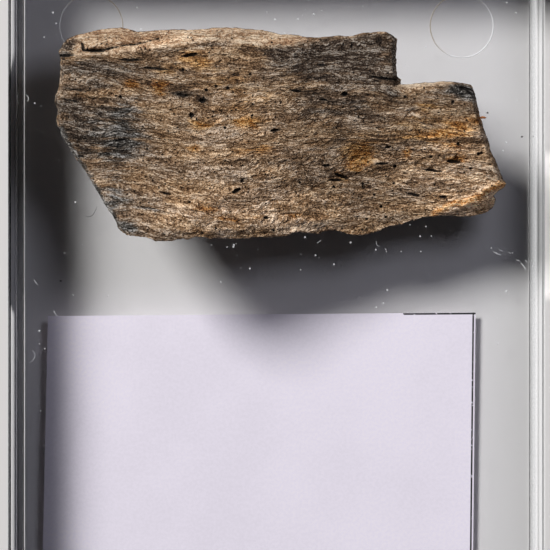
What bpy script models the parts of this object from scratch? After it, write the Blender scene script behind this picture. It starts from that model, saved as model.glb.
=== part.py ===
"""Fossil bone fragment lying in an open clear tray, with a blank label card beside it.

Metres, +Z up. The origin is at the middle of the tray's underside. +Y runs along the tray's
length, towards the end that holds the bone, and +X to its right. Sizes below are in
millimetres, and MM turns them into metres where a mesh is made.
"""

import math

import bpy
import numpy as np
from mathutils import Vector, noise
from mathutils.geometry import delaunay_2d_cdt

MM = 0.001
GAP = 0.3  # left between touching pieces

# Tray
TRAY_WIDTH = 55.5
TRAY_LENGTH = 81.2
TRAY_HEIGHT = 9.5
WALL = 0.93
FLOOR = 1.5
OUTER_DRAFT = 0.35  # how far a wall leans out over its height
INNER_DRAFT = 0.30
CORNER_RADIUS = 2.6
FLOOR_FILLET = 0.75
FOOT_BEVEL = 0.4
RIM_BEVEL = 0.16
CORNER_STEPS = 7
FILLET_STEPS = 4

# Label card, its corners clockwise from the far left one
LABEL_THICKNESS = 0.25
LABEL_CORNERS = ((-23.93, 2.03), (20.83, 2.39), (20.42, -36.5), (-24.75, -36.5))

# Bone: its outline, clockwise, in the stretches that broke in different ways. It is drawn as
# an eye at EYE sees it against a plane at BONE_TOP.
EYE = (-0.16, 6.32)
EYE_HEIGHT = 600.0
CORTEX_EDGE = (
    (-22.2, 28.6), (-22.4, 29.0), (-22.3, 29.4), (-21.8, 30.2), (-21.4, 30.6), (-20.9, 30.8),
    (-20.3, 31.0), (-19.1, 31.3), (-18.3, 31.5), (-17.3, 31.6), (-16.0, 31.7), (-15.3, 31.6),
    (-14.3, 31.3), (-12.8, 31.4), (-11.7, 31.5), (-10.7, 31.5), (-9.3, 31.5), (-7.9, 31.5),
    (-6.4, 31.7), (-5.0, 31.7), (-4.2, 31.7), (-3.4, 31.6), (-2.3, 31.5), (-1.5, 31.5),
    (-0.4, 31.2), (0.5, 31.0), (1.4, 31.0), (2.2, 30.9), (3.2, 30.7),
)
BLOCK_EDGE = (
    (3.2, 30.7), (4.2, 30.7), (5.2, 30.8), (6.3, 30.9), (7.5, 30.8), (8.2, 31.0), (8.8, 31.2),
    (9.6, 31.2), (10.4, 31.3), (11.2, 31.3), (11.8, 31.0), (12.4, 30.5),
)
BLOCK_END = (
    (12.4, 30.5), (12.3, 29.5), (12.3, 28.7), (12.3, 27.9), (12.3, 27.2), (12.4, 26.7),
    (12.8, 26.4), (12.6, 26.2), (12.2, 25.9),
)
STEP_EDGE = (
    (12.2, 25.9), (13.0, 25.9), (13.7, 25.9), (14.4, 26.0), (15.2, 26.1), (16.2, 26.1),
    (17.1, 26.2), (17.9, 26.2), (18.6, 26.1), (19.2, 26.0), (19.9, 25.9),
)
RIGHT_EDGE = (
    (19.9, 25.9), (20.1, 25.6), (20.3, 25.1), (20.5, 24.3), (20.7, 23.4), (20.9, 22.5),
    (21.2, 21.6), (21.5, 20.7), (21.8, 19.9), (22.0, 19.0), (22.4, 18.2), (22.7, 17.5),
    (23.0, 16.8), (23.3, 16.1), (23.6, 15.7),
)
SHELF_EDGE = (
    (23.6, 15.7), (23.4, 15.3), (22.9, 15.0), (22.5, 14.7), (22.3, 14.4), (22.5, 14.1),
    (22.3, 13.4), (22.1, 13.1), (21.5, 12.7), (20.8, 12.5), (19.9, 12.3), (18.8, 12.3),
    (17.8, 12.4), (16.8, 12.4), (15.9, 12.3),
)
NEAR_EDGE = (
    (15.9, 12.3), (15.1, 12.2), (14.4, 12.0), (13.6, 11.8), (12.8, 11.5), (11.9, 11.4),
    (11.0, 11.1), (10.4, 10.8), (9.7, 10.6), (8.8, 10.4), (7.8, 10.4), (7.1, 10.6),
    (6.4, 10.8), (5.6, 10.9), (4.9, 10.8), (4.4, 10.5), (3.4, 10.6), (2.4, 10.7), (1.7, 10.6),
    (1.1, 10.3), (0.0, 10.2), (-1.1, 10.2), (-2.1, 10.2), (-2.8, 10.1), (-3.7, 10.0),
    (-4.8, 10.0), (-5.9, 10.1), (-6.8, 10.0), (-7.5, 10.2), (-8.2, 10.2), (-9.0, 10.0),
    (-9.8, 10.0), (-10.6, 9.8), (-11.7, 9.8), (-12.5, 9.8), (-13.1, 10.1),
)
NEAR_CORNER = (
    (-13.1, 10.1), (-13.8, 10.2), (-14.6, 10.3), (-15.4, 10.4), (-16.0, 10.8), (-16.3, 11.1),
    (-16.4, 11.6),
)
SLANT_EDGE = (
    (-16.4, 11.6), (-16.7, 12.2), (-17.3, 13.0), (-17.8, 13.8), (-18.3, 14.7), (-18.8, 15.5),
    (-19.3, 16.4), (-19.8, 17.2), (-20.3, 17.9), (-20.9, 18.7), (-21.3, 19.4), (-21.8, 20.1),
    (-22.1, 20.6),
)
LEFT_EDGE = (
    (-22.1, 20.6), (-22.2, 21.2), (-22.5, 21.6), (-22.6, 22.4), (-22.4, 23.2), (-22.6, 23.7),
    (-22.8, 24.0), (-22.7, 24.7), (-22.4, 25.5), (-22.2, 26.7), (-22.2, 27.6), (-22.2, 28.6),
)
# How each stretch falls away at its rim: the width of the fall and its depth
EDGE_FALLS = (
    (CORTEX_EDGE, 0.45, 0.50),
    (BLOCK_EDGE, 0.55, 0.45),
    (BLOCK_END, 0.30, 0.80),
    (STEP_EDGE, 0.75, 0.85),
    (RIGHT_EDGE, 0.35, 0.80),
    (SHELF_EDGE, 0.70, 0.80),
    (NEAR_EDGE, 0.90, 0.65),
    (NEAR_CORNER, 0.80, 0.60),
    (SLANT_EDGE, 0.50, 0.60),
    (LEFT_EDGE, 0.45, 0.90),
)
FALL_CURVE = 1.4
# Lines on the bone's upper face
RIDGE = (
    (-22.6, 28.6), (-20.2, 28.8), (-18.8, 28.9), (-17.5, 29.0), (-15.9, 29.2), (-14.1, 29.4),
    (-12.4, 29.6), (-10.6, 29.8), (-9.0, 30.1), (-7.6, 30.3), (-6.4, 30.4), (-5.2, 30.3),
    (-3.8, 30.1), (-2.1, 30.0), (0.0, 29.7), (1.4, 29.8), (2.6, 29.9), (3.4, 30.3),
)
CRACK = (
    (-20.0, 30.1), (-19.7, 29.4), (-19.0, 29.3), (-18.0, 29.4), (-17.0, 29.5), (-15.7, 29.9),
    (-14.9, 29.7), (-14.5, 30.0), (-13.5, 30.3), (-12.1, 30.6),
)
SHELF_LINE = (
    (15.4, 12.2), (16.7, 12.9), (17.5, 13.3), (18.4, 13.7), (19.5, 14.0), (20.4, 14.4),
    (21.2, 14.9), (22.0, 15.4), (22.7, 15.7), (23.6, 16.1),
)
BONE_TOP = 14.0  # height of the upper face above the tray's underside, at its far left
CORTEX_SLOPE = 0.62  # fall for each millimetre beyond the ridge
CORTEX_END = (2.6, 4.2)  # where the cortex stops, along X
CRACK_DEPTH = 0.35
CRACK_WIDTH = 0.26
LEAN = 4.3  # how much lower the upper face is at its near right corner
LEAN_ALONG = (-8.0, 11.0)  # where that starts and ends along X
LEAN_ACROSS = (26.0, 12.0)  # and along Y
# The upper face swells up at its near left corner: x, y, half length, half width, height
HEEL = (-13.5, 9.8, 6.6, 4.6, 3.6)
SHELF_START = (15.2, 17.0)
SHELF_SLOPE = 0.36  # fall for each millimetre beyond the shelf's line
LIP_HEIGHT = 0.28  # of the broken lip along that line
LIP_WIDTH = 0.38
BLOCK_DROP = 0.35
BLOCK_ALONG = (2.5, 4.5)
BLOCK_ACROSS = (25.5, 27.5)
KNOB = (-21.3, 29.6, 1.15, 0.95, 0.75)  # x, y, half length, half width, depth of its hollow
CHIP = (19.2, 25.4, 1.15, 0.75, 0.55)
DIPS = (  # broad hollows of the upper face: x, y, half length, half width, depth
    (-17.5, 17.2, 2.6, 1.2, 0.30),
    (-14.5, 20.6, 2.4, 0.5, 0.22),
    (-9.5, 24.8, 2.6, 0.5, 0.22),
    (5.2, 28.4, 3.6, 1.0, 0.30),
    (9.0, 26.0, 2.2, 0.6, 0.22),
    (9.2, 18.0, 1.4, 0.55, 0.30),
    (6.4, 16.4, 1.0, 0.5, 0.32),
    (18.6, 18.3, 1.2, 0.5, 0.28),
    (-6.0, 13.2, 2.0, 0.45, 0.22),
    (16.6, 17.2, 1.8, 0.35, 0.20),
    (2.8, 12.6, 2.4, 0.5, 0.24),
)
DIP_SOFTNESS = 1.2
GRAIN_HEIGHT = 0.27  # of the ribs that run along the bone
GRAIN_WAVES = (0.14, 0.95)  # ribs for each millimetre along X and Y
LUMP_HEIGHT = 0.16
LUMP_WAVES = (0.22, 0.34)
BEND = 0.8  # how far the ribs wander across the bone
BEND_WAVES = (0.10, 0.12)
GRID_STEP = 0.64  # between points of the upper face
RIM_INSET = 0.42  # from the outline to the first points inside it
LINE_CLEARANCE = 0.30  # between a line's points and the grid's
JITTER = 0.22
SEED = 7
# The round underside narrows to a keel along a spine
SPINE = ((-8.0, 18.6), (12.0, 18.0))
UNDERSIDE_RINGS = 10
KEEL_REACH = 0.76  # share of the way from the outline to the spine at the keel
KEEL_CURVE = 1.3
DROP_CURVE = 1.5
SMOOTHING = 9  # outline points on each side that the underside's plan is averaged over
TYPICAL_REACH = 10.0  # from the outline to the spine
BROKEN_LUMP_DEPTH = 1.3
BROKEN_LUMP_WAVES = (0.16, 0.16, 0.22)
BROKEN_LUMP_BIAS = 0.3  # how much of the side lies set in rather than flush
LEDGE_DEPTH = 0.9
LEDGE_WAVES = (0.07, 0.12, 0.42)
LEDGE_SHIFT = (0.0, 0.0, 5.0)  # into another part of the noise than the lumps
LEDGE_EDGE = (-0.05, 0.12)
# How fast the breaks grow below the rim and fade towards the keel, and what is left there
BREAK_START = 4.0
BREAK_END = 6.0
BREAK_AT_KEEL = 0.4


def remove_everything():
    """Empty the file of its objects."""
    for thing in list(bpy.data.objects):
        bpy.data.objects.remove(thing, do_unlink=True)


def principled(name, colour, roughness, metallic=0.0, transmission=0.0, ior=1.5):
    """Return a Principled material."""
    material = bpy.data.materials.new(name)
    material.use_nodes = True
    shader = material.node_tree.nodes["Principled BSDF"]
    shader.inputs["Base Color"].default_value = (*colour, 1.0)
    shader.inputs["Roughness"].default_value = roughness
    shader.inputs["Metallic"].default_value = metallic
    shader.inputs["Transmission Weight"].default_value = transmission
    shader.inputs["IOR"].default_value = ior
    return material


def add_object(name, points, faces, material, smooth_angle=None):
    """Make a mesh object from points in millimetres."""
    mesh = bpy.data.meshes.new(name)
    mesh.from_pydata([Vector(point) * MM for point in points], [], faces)
    mesh.validate()
    mesh.materials.append(material)
    if smooth_angle is not None:
        mesh.shade_smooth()
        mesh.set_sharp_from_angle(angle=math.radians(smooth_angle))
    thing = bpy.data.objects.new(name, mesh)
    bpy.context.scene.collection.objects.link(thing)
    return thing


def bridge(lower, upper, count):
    """Return the quads between two closed loops that start at these point numbers."""
    quads = []
    for step in range(count):
        after = (step + 1) % count
        quads.append((lower + step, lower + after, upper + after, upper + step))
    return quads


# Tray


def rounded_loop(inset, height):
    """Return a rounded rectangle that lies inside the tray's outer rim by inset."""
    half_x = TRAY_WIDTH / 2 - inset
    half_y = TRAY_LENGTH / 2 - inset
    radius = max(CORNER_RADIUS - inset, 0.5)
    points = []
    for corner, (side_x, side_y) in enumerate(((1, 1), (-1, 1), (-1, -1), (1, -1))):
        centre_x = side_x * (half_x - radius)
        centre_y = side_y * (half_y - radius)
        for step in range(CORNER_STEPS + 1):
            angle = math.pi / 2 * (corner + step / CORNER_STEPS)
            x = centre_x + radius * math.cos(angle)
            y = centre_y + radius * math.sin(angle)
            points.append((x, y, height))
    return points


def tray_profile():
    """Return the wall's section as insets and heights, up its outside and down its inside."""
    profile = [
        (OUTER_DRAFT + FOOT_BEVEL, 0.0),
        (OUTER_DRAFT, FOOT_BEVEL),
        (0.0, TRAY_HEIGHT - RIM_BEVEL),
        (RIM_BEVEL, TRAY_HEIGHT),
        (WALL - RIM_BEVEL, TRAY_HEIGHT),
        (WALL, TRAY_HEIGHT - RIM_BEVEL),
    ]
    for step in range(FILLET_STEPS + 1):
        angle = math.pi / 2 * step / FILLET_STEPS
        inset = WALL + INNER_DRAFT + FLOOR_FILLET * (1 - math.cos(angle))
        height = FLOOR + FLOOR_FILLET * (1 - math.sin(angle))
        profile.append((inset, height))
    return profile


def build_tray():
    """Make the tray as loops up its outside, over its rim and down to its floor."""
    points = []
    faces = []
    count = 4 * (CORNER_STEPS + 1)
    profile = tray_profile()
    for inset, height in profile:
        points.extend(rounded_loop(inset, height))
    for level in range(len(profile) - 1):
        faces.extend(bridge(level * count, (level + 1) * count, count))
    floor_start = (len(profile) - 1) * count
    faces.append(tuple(reversed(range(count))))
    faces.append(tuple(range(floor_start, floor_start + count)))
    clear = principled("clear_polystyrene", (0.93, 0.94, 0.95), 0.06, transmission=1.0, ior=1.59)
    return add_object("tray", points, faces, clear, smooth_angle=40)


# Label


def build_label():
    """Make the label as a thin card, laid a little askew on the tray's floor."""
    base = FLOOR + GAP
    points = [(x, y, base) for x, y in LABEL_CORNERS]
    points += [(x, y, base + LABEL_THICKNESS) for x, y in LABEL_CORNERS]
    faces = [(0, 1, 2, 3), (7, 6, 5, 4)]
    faces += [(start, 4 + start, 4 + (start + 1) % 4, (start + 1) % 4) for start in range(4)]
    paper = principled("label_paper", (0.80, 0.78, 0.86), 0.75)
    return add_object("label", points, faces, paper)


# Bone


def bone_outline():
    """Return the bone's whole outline, clockwise from above, without repeated points."""
    outline = []
    for stretch, _, _ in EDGE_FALLS:
        outline.extend(stretch[:-1])
    return np.array(outline)


def distance_to_path(points, path):
    """Return each point's distance to a path of straight pieces."""
    path = np.asarray(path)
    nearest = np.full(len(points), np.inf)
    for start, end in zip(path[:-1], path[1:]):
        along = end - start
        share = ((points - start) @ along) / (along @ along)
        foot = start + np.clip(share, 0.0, 1.0)[:, None] * along
        nearest = np.minimum(nearest, np.linalg.norm(points - foot, axis=1))
    return nearest


def is_inside(points, outline):
    """Say which points lie inside a closed outline."""
    inside = np.zeros(len(points), dtype=bool)
    x, y = points.T
    for (x0, y0), (x1, y1) in zip(outline, np.roll(outline, -1, axis=0)):
        if y0 != y1:
            crosses = ((y0 > y) != (y1 > y)) & (x < (x1 - x0) * (y - y0) / (y1 - y0) + x0)
            inside ^= crosses
    return inside


def ease(low, high, value):
    """Rise smoothly from 0 at low to 1 at high."""
    share = np.clip((value - low) / (high - low), 0.0, 1.0)
    return share * share * (3 - 2 * share)


def hollow(points, x, y, half_length, half_width, depth):
    """Return the depth of a soft oval hollow, or the height of a swelling, at each point."""
    reach = ((points[:, 0] - x) / half_length) ** 2 + ((points[:, 1] - y) / half_width) ** 2
    return depth * np.exp(-DIP_SOFTNESS * reach)


def grain(points):
    """Return the ribs that run along the bone and the broad lumps under them."""
    heights = []
    for x, y in points:
        bend = BEND * noise.noise(Vector((x * BEND_WAVES[0], y * BEND_WAVES[1], 3.0)))
        rib = noise.noise(Vector((x * GRAIN_WAVES[0], (y + bend) * GRAIN_WAVES[1], 0.0)))
        lump = noise.noise(Vector((x * LUMP_WAVES[0], y * LUMP_WAVES[1], 9.0)))
        heights.append(GRAIN_HEIGHT * rib + LUMP_HEIGHT * lump)
    return np.array(heights)


def upper_height(points):
    """Return the height of the bone's upper side at each point."""
    x, y = points.T
    height = BONE_TOP - LEAN * ease(*LEAN_ALONG, x) * ease(*LEAN_ACROSS, y) + grain(points)
    height += hollow(points, *HEEL)
    past_ridge = y - np.interp(x, *np.transpose(RIDGE))
    on_cortex = 1 - ease(*CORTEX_END, x)
    height -= CORTEX_SLOPE * np.clip(past_ridge, 0.0, None) * on_cortex
    height -= CRACK_DEPTH * np.exp(-((distance_to_path(points, CRACK) / CRACK_WIDTH) ** 2))
    height -= BLOCK_DROP * ease(*BLOCK_ALONG, x) * ease(*BLOCK_ACROSS, y)
    below_line = np.interp(x, *np.transpose(SHELF_LINE)) - y
    lip = LIP_HEIGHT * np.exp(-((below_line / LIP_WIDTH - 1.0) ** 2))
    shelf = lip - SHELF_SLOPE * np.clip(below_line, 0.0, None)
    height += shelf * ease(*SHELF_START, x)
    for spot in (KNOB, CHIP, *DIPS):
        height -= hollow(points, *spot)
    falls = [
        depth * (1 - np.clip(distance_to_path(points, stretch) / width, 0.0, 1.0)) ** FALL_CURVE
        for stretch, width, depth in EDGE_FALLS
    ]
    return height - np.max(falls, axis=0)


def widened(plan, heights):
    """Return the plan with each point moved out to where the eye sees it at its height."""
    reach = (EYE_HEIGHT - heights) / (EYE_HEIGHT - BONE_TOP)
    return EYE + reach[:, None] * (plan - EYE)


def inner_points(outline):
    """Return loose points inside the outline, evenly spread but a little disordered."""
    random = np.random.default_rng(SEED)
    rows = []
    low = outline.min(axis=0)
    high = outline.max(axis=0)
    row_step = GRID_STEP * math.sqrt(3) / 2
    for row, y in enumerate(np.arange(low[1], high[1], row_step)):
        x = np.arange(low[0] + (row % 2) * GRID_STEP / 2, high[0], GRID_STEP)
        rows.append(np.column_stack((x, np.full(len(x), y))))
    grid = np.concatenate(rows)
    grid += random.uniform(-JITTER, JITTER, grid.shape) * GRID_STEP
    keep = is_inside(grid, outline)
    rim = np.vstack((outline, outline[:1]))
    keep &= distance_to_path(grid, rim) > RIM_INSET + LINE_CLEARANCE
    for line in (RIDGE, CRACK, SHELF_LINE):
        keep &= distance_to_path(grid, line) > LINE_CLEARANCE
    return grid[keep]


def rim_points(outline):
    """Return points set in from the outline, where its rounded rim ends."""
    before = np.roll(outline, 1, axis=0)
    after = np.roll(outline, -1, axis=0)
    along = after - before
    along /= np.linalg.norm(along, axis=1)[:, None]
    inward = np.column_stack((along[:, 1], -along[:, 0]))
    inset = outline + RIM_INSET * inward
    rim = np.vstack((outline, outline[:1]))
    keep = is_inside(inset, outline) & (distance_to_path(inset, rim) > 0.8 * RIM_INSET)
    return inset[keep]


def line_points(outline):
    """Return the points of the lines on the upper face that lie clear of its rim."""
    points = np.concatenate([np.array(line) for line in (RIDGE, CRACK, SHELF_LINE)])
    rim = np.vstack((outline, outline[:1]))
    keep = is_inside(points, outline) & (distance_to_path(points, rim) > RIM_INSET)
    return points[keep]


def upper_sheet(outline):
    """Return the upper side's points and triangles. The outline's points come first."""
    spots = [outline, rim_points(outline), line_points(outline), inner_points(outline)]
    flat = [Vector(point) for point in np.concatenate(spots)]
    border = list(range(len(outline)))
    result = delaunay_2d_cdt(flat, [], [border], 1, 1e-4)
    sources = {}
    for number, origins in enumerate(result[3]):
        for origin in origins:
            sources[origin] = number
    order = [sources[number] for number in border]
    order += [number for number in range(len(result[0])) if number not in set(order)]
    renumber = {number: place for place, number in enumerate(order)}
    points = np.array([result[0][number] for number in order])
    triangles = [tuple(renumber[corner] for corner in face) for face in result[2]]
    return points, upward(points, triangles)


def upward(points, triangles):
    """Turn triangles that lie in the plan so that each faces up."""
    turned = []
    for a, b, c in triangles:
        first = points[b] - points[a]
        second = points[c] - points[a]
        rising = first[0] * second[1] - first[1] * second[0] > 0
        turned.append((a, b, c) if rising else (a, c, b))
    return turned


def spine_points(outline):
    """Return the point of the spine that is nearest to each point of the outline."""
    start, end = np.array(SPINE)
    along = end - start
    share = ((outline - start) @ along) / (along @ along)
    return start + np.clip(share, 0.0, 1.0)[:, None] * along


def smoothed(outline):
    """Return the outline with its nicks and its notch averaged away."""
    shifts = range(-SMOOTHING, SMOOTHING + 1)
    return np.mean([np.roll(outline, shift, axis=0) for shift in shifts], axis=0)


def underside_rings(outline, rim_heights):
    """Return the rings of points that carry the rim down and in to the flat of the keel."""
    rings = []
    base = FLOOR + GAP
    rounder = smoothed(outline)
    target = spine_points(outline)
    for number in range(1, UNDERSIDE_RINGS + 1):
        share = number / UNDERSIDE_RINGS
        inward = KEEL_REACH * share**KEEL_CURVE
        down = 1 - (1 - share) ** DROP_CURVE
        plan = outline + down * (rounder - outline)
        plan = plan + inward * (target - plan)
        heights = rim_heights + down * (base - rim_heights)
        ring = np.column_stack((plan, heights))
        for point, aim in zip(ring, target):
            point[:2] += broken_away(point, down) * (aim - point[:2])
        rings.append(ring)
    return rings


def broken_away(point, down):
    """Return the share of the way to the spine by which lumps and ledges set a point in."""
    spot = Vector(point)
    lump = noise.noise(spot * Vector(BROKEN_LUMP_WAVES)) + BROKEN_LUMP_BIAS
    ledge = noise.noise(spot * Vector(LEDGE_WAVES) + Vector(LEDGE_SHIFT))
    depth = BROKEN_LUMP_DEPTH * max(lump, 0.0)
    depth += LEDGE_DEPTH * float(ease(*LEDGE_EDGE, ledge))
    under_rim = BREAK_START * down
    over_keel = BREAK_END * (1 - down) + BREAK_AT_KEEL
    return depth * min(1.0, under_rim, over_keel) / TYPICAL_REACH


def build_bone():
    """Make the bone: a ribbed upper side, and a round underside that rests on its keel."""
    outline = bone_outline()
    plan, triangles = upper_sheet(outline)
    heights = upper_height(plan)
    plan = widened(plan, heights)
    count = len(outline)
    rings = underside_rings(plan[:count], heights[:count])
    points = np.concatenate((np.column_stack((plan, heights)), *rings))
    faces = list(triangles)
    first = len(plan)
    starts = [0] + [first + number * count for number in range(len(rings))]
    for upper, lower in zip(starts[:-1], starts[1:]):
        for a, b, c, d in bridge(upper, lower, count):
            faces.append((a, b, c))
            faces.append((a, c, d))
    keel = rings[-1]
    flat = delaunay_2d_cdt([Vector(point) for point in keel[:, :2]], [], [list(range(count))], 1, 1e-5)
    origin = {number: origins[0] for number, origins in enumerate(flat[3])}
    for face in upward(np.array(flat[0]), flat[2]):
        faces.append(tuple(starts[-1] + origin[corner] for corner in reversed(face)))
    stone = principled("fossil_bone", (0.23, 0.17, 0.115), 0.72)
    return add_object("bone", points, faces, stone, smooth_angle=60)


def main():
    """Build every piece."""
    remove_everything()
    build_tray()
    build_label()
    build_bone()


main()
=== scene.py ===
import logging
import math
from dataclasses import dataclass
from enum import Enum
from typing import Iterable, Sequence

import bmesh
import bpy
import numpy as np
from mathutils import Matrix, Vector


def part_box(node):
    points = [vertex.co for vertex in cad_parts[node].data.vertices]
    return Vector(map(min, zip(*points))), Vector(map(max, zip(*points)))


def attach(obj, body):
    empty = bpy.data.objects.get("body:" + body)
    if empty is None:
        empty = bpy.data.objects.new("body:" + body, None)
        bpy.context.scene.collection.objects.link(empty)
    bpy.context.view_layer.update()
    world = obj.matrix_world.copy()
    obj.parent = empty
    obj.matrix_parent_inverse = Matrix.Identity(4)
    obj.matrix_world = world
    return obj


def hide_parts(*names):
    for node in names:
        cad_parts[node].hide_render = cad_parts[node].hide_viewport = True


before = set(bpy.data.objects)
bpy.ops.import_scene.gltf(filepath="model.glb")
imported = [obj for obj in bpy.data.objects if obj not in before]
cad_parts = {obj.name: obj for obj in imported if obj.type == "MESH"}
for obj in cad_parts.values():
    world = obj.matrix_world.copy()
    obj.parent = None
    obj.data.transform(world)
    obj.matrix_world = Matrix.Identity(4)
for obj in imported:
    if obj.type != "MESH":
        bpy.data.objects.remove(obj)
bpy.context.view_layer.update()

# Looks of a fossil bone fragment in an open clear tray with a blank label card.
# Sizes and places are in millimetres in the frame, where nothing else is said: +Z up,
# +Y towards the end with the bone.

MM = 0.001
FIBRES_BEND = (-7.0, 9.0)  # along the bone, where its fibres start to bend at each end
log = logging.getLogger("fossil_bone")

Colour = tuple[float, float, float]
Place = tuple[float, float]
Parts = tuple[list, list]  # points, and faces as point numbers
Array = np.ndarray
Material = bpy.types.Material
Mesh = bpy.types.Mesh
Node = bpy.types.Node
Socket = bpy.types.NodeSocket
Thing = bpy.types.Object


# Node trees


class Wiring:
    """Adds nodes to one tree and joins them."""

    def __init__(self, tree: bpy.types.NodeTree) -> None:
        """Start on a material's tree or a Geometry Nodes tree."""
        self.tree = tree

    def add(self, kind: str, inputs: dict | None = None, **settings: object) -> Node:
        """Add one node.

        Args:
            kind: the node's type.
            inputs: what its inputs get, by name or number.
            settings: its properties and their values.

        Returns:
            The new node.
        """
        node = self.tree.nodes.new(kind)
        for name, value in settings.items():
            setattr(node, name, value)
        self.feed(node, inputs or {})
        return node

    def feed(self, node: Node, inputs: dict) -> None:
        """Give inputs a value or link them.

        Args:
            node: the node that has the inputs.
            inputs: another node's output or a plain value for each name or number.
        """
        for name, value in inputs.items():
            if isinstance(value, Socket):
                self.tree.links.new(value, node.inputs[name])
            else:
                node.inputs[name].default_value = value

    def math(self, operation: str, *values: object, clamp: bool = False) -> Socket:
        """Work out a number.

        Args:
            operation: the sum to do, such as MULTIPLY.
            values: numbers or outputs.
            clamp: whether to keep the result between 0 and 1.

        Returns:
            The result's output.
        """
        inputs = dict(enumerate(values))
        return self.add("ShaderNodeMath", inputs, operation=operation, use_clamp=clamp).outputs[0]

    def weigh(self, *parts: tuple[object, float]) -> Socket:
        """Return the sum of outputs that each have a weight.

        Args:
            parts: outputs and their weights.

        Returns:
            The sum's output.
        """
        (value, weight), *others = parts
        total = self.math("MULTIPLY", value, weight)
        for value, weight in others:
            total = self.math("MULTIPLY_ADD", value, weight, total)
        return total

    def vector(self, operation: str, *values: object) -> Socket:
        """Work out a vector from vectors or outputs."""
        inputs = dict(enumerate(values))
        return self.add("ShaderNodeVectorMath", inputs, operation=operation).outputs[0]

    def split(self, vector: object) -> bpy.types.NodeOutputs:
        """Return a vector's X, Y and Z."""
        return self.add("ShaderNodeSeparateXYZ", {0: vector}).outputs

    def read(self, name: str) -> Socket:
        """Return a number that the mesh keeps under a name."""
        return self.add("ShaderNodeAttribute", attribute_name=name).outputs["Fac"]

    def bump(self, height: object, depth: float) -> Socket:
        """Return normals for a relief from 0 to 1 that is so many millimetres deep."""
        return self.add("ShaderNodeBump", {"Distance": depth * MM, "Height": height}).outputs[0]

    def blend(self, factor: object, first: object, second: object, kind: str = "MIX") -> Socket:
        """Mix two colours.

        Args:
            factor: the second colour's share.
            first: the colour at 0.
            second: the colour at 1.
            kind: how they mix, such as MULTIPLY.

        Returns:
            The mixed colour's output.
        """
        inputs = {0: factor}
        for number, value in ((6, first), (7, second)):
            inputs[number] = (*value, 1.0) if isinstance(value, tuple) else value
        return self.add("ShaderNodeMix", inputs, data_type="RGBA", blend_type=kind).outputs[2]

    def rescale(
        self, value: object, low: float, high: float, to_low: float = 0.0, to_high: float = 1.0
    ) -> Socket:
        """Ease a number from one range to another.

        Args:
            value: the number.
            low: where the rise starts.
            high: where it ends.
            to_low: the result at low.
            to_high: the result at high.

        Returns:
            The result's output.
        """
        inputs = dict(enumerate((value, low, high, to_low, to_high)))
        return self.add("ShaderNodeMapRange", inputs, interpolation_type="SMOOTHSTEP").outputs[0]

    def noise(
        self, vector: object, stretch: Colour, detail: float = 2.0, roughness: float = 0.5
    ) -> Socket:
        """Return noise from 0 to 1 over stretched coordinates.

        Args:
            vector: coordinates in millimetres.
            stretch: waves for each millimetre along X, Y and Z.
            detail: how many finer layers it has.
            roughness: how strong those are.

        Returns:
            The noise's output.
        """
        inputs = {"Vector": self.vector("MULTIPLY", vector, stretch), "Scale": 1.0}
        inputs |= {"Detail": detail, "Roughness": roughness}
        return self.add("ShaderNodeTexNoise", inputs).outputs["Fac"]

    def cells(self, vector: object, stretch: Colour, reach: Place, bare: float) -> Socket:
        """Return round spots in the middles of some cells.

        Args:
            vector: coordinates in millimetres.
            stretch: cells for each millimetre along X, Y and Z.
            reach: how far from its middle a spot starts and is full.
            bare: the share of cells that have no spot.

        Returns:
            The spots' output.
        """
        inputs = {"Vector": self.vector("MULTIPLY", vector, stretch), "Scale": 1.0}
        cells = self.add("ShaderNodeTexVoronoi", inputs).outputs
        chosen = self.math("GREATER_THAN", cells["Color"], bare)
        return self.math("MULTIPLY", self.rescale(cells["Distance"], *reach), chosen)

    def ramp(self, value: object, stops: Sequence[tuple[float, Colour]]) -> Socket:
        """Turn a number into a colour.

        Args:
            value: the number, from 0 to 1.
            stops: places and their colours, in order.

        Returns:
            The colour's output.
        """
        node = self.add("ShaderNodeValToRGB", {0: value})
        elements = node.color_ramp.elements
        while len(elements) < len(stops):
            elements.new(0.5)
        for element, (position, colour) in zip(elements, stops):
            element.position, element.color = position, (*colour, 1.0)
        return node.outputs[0]


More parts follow.
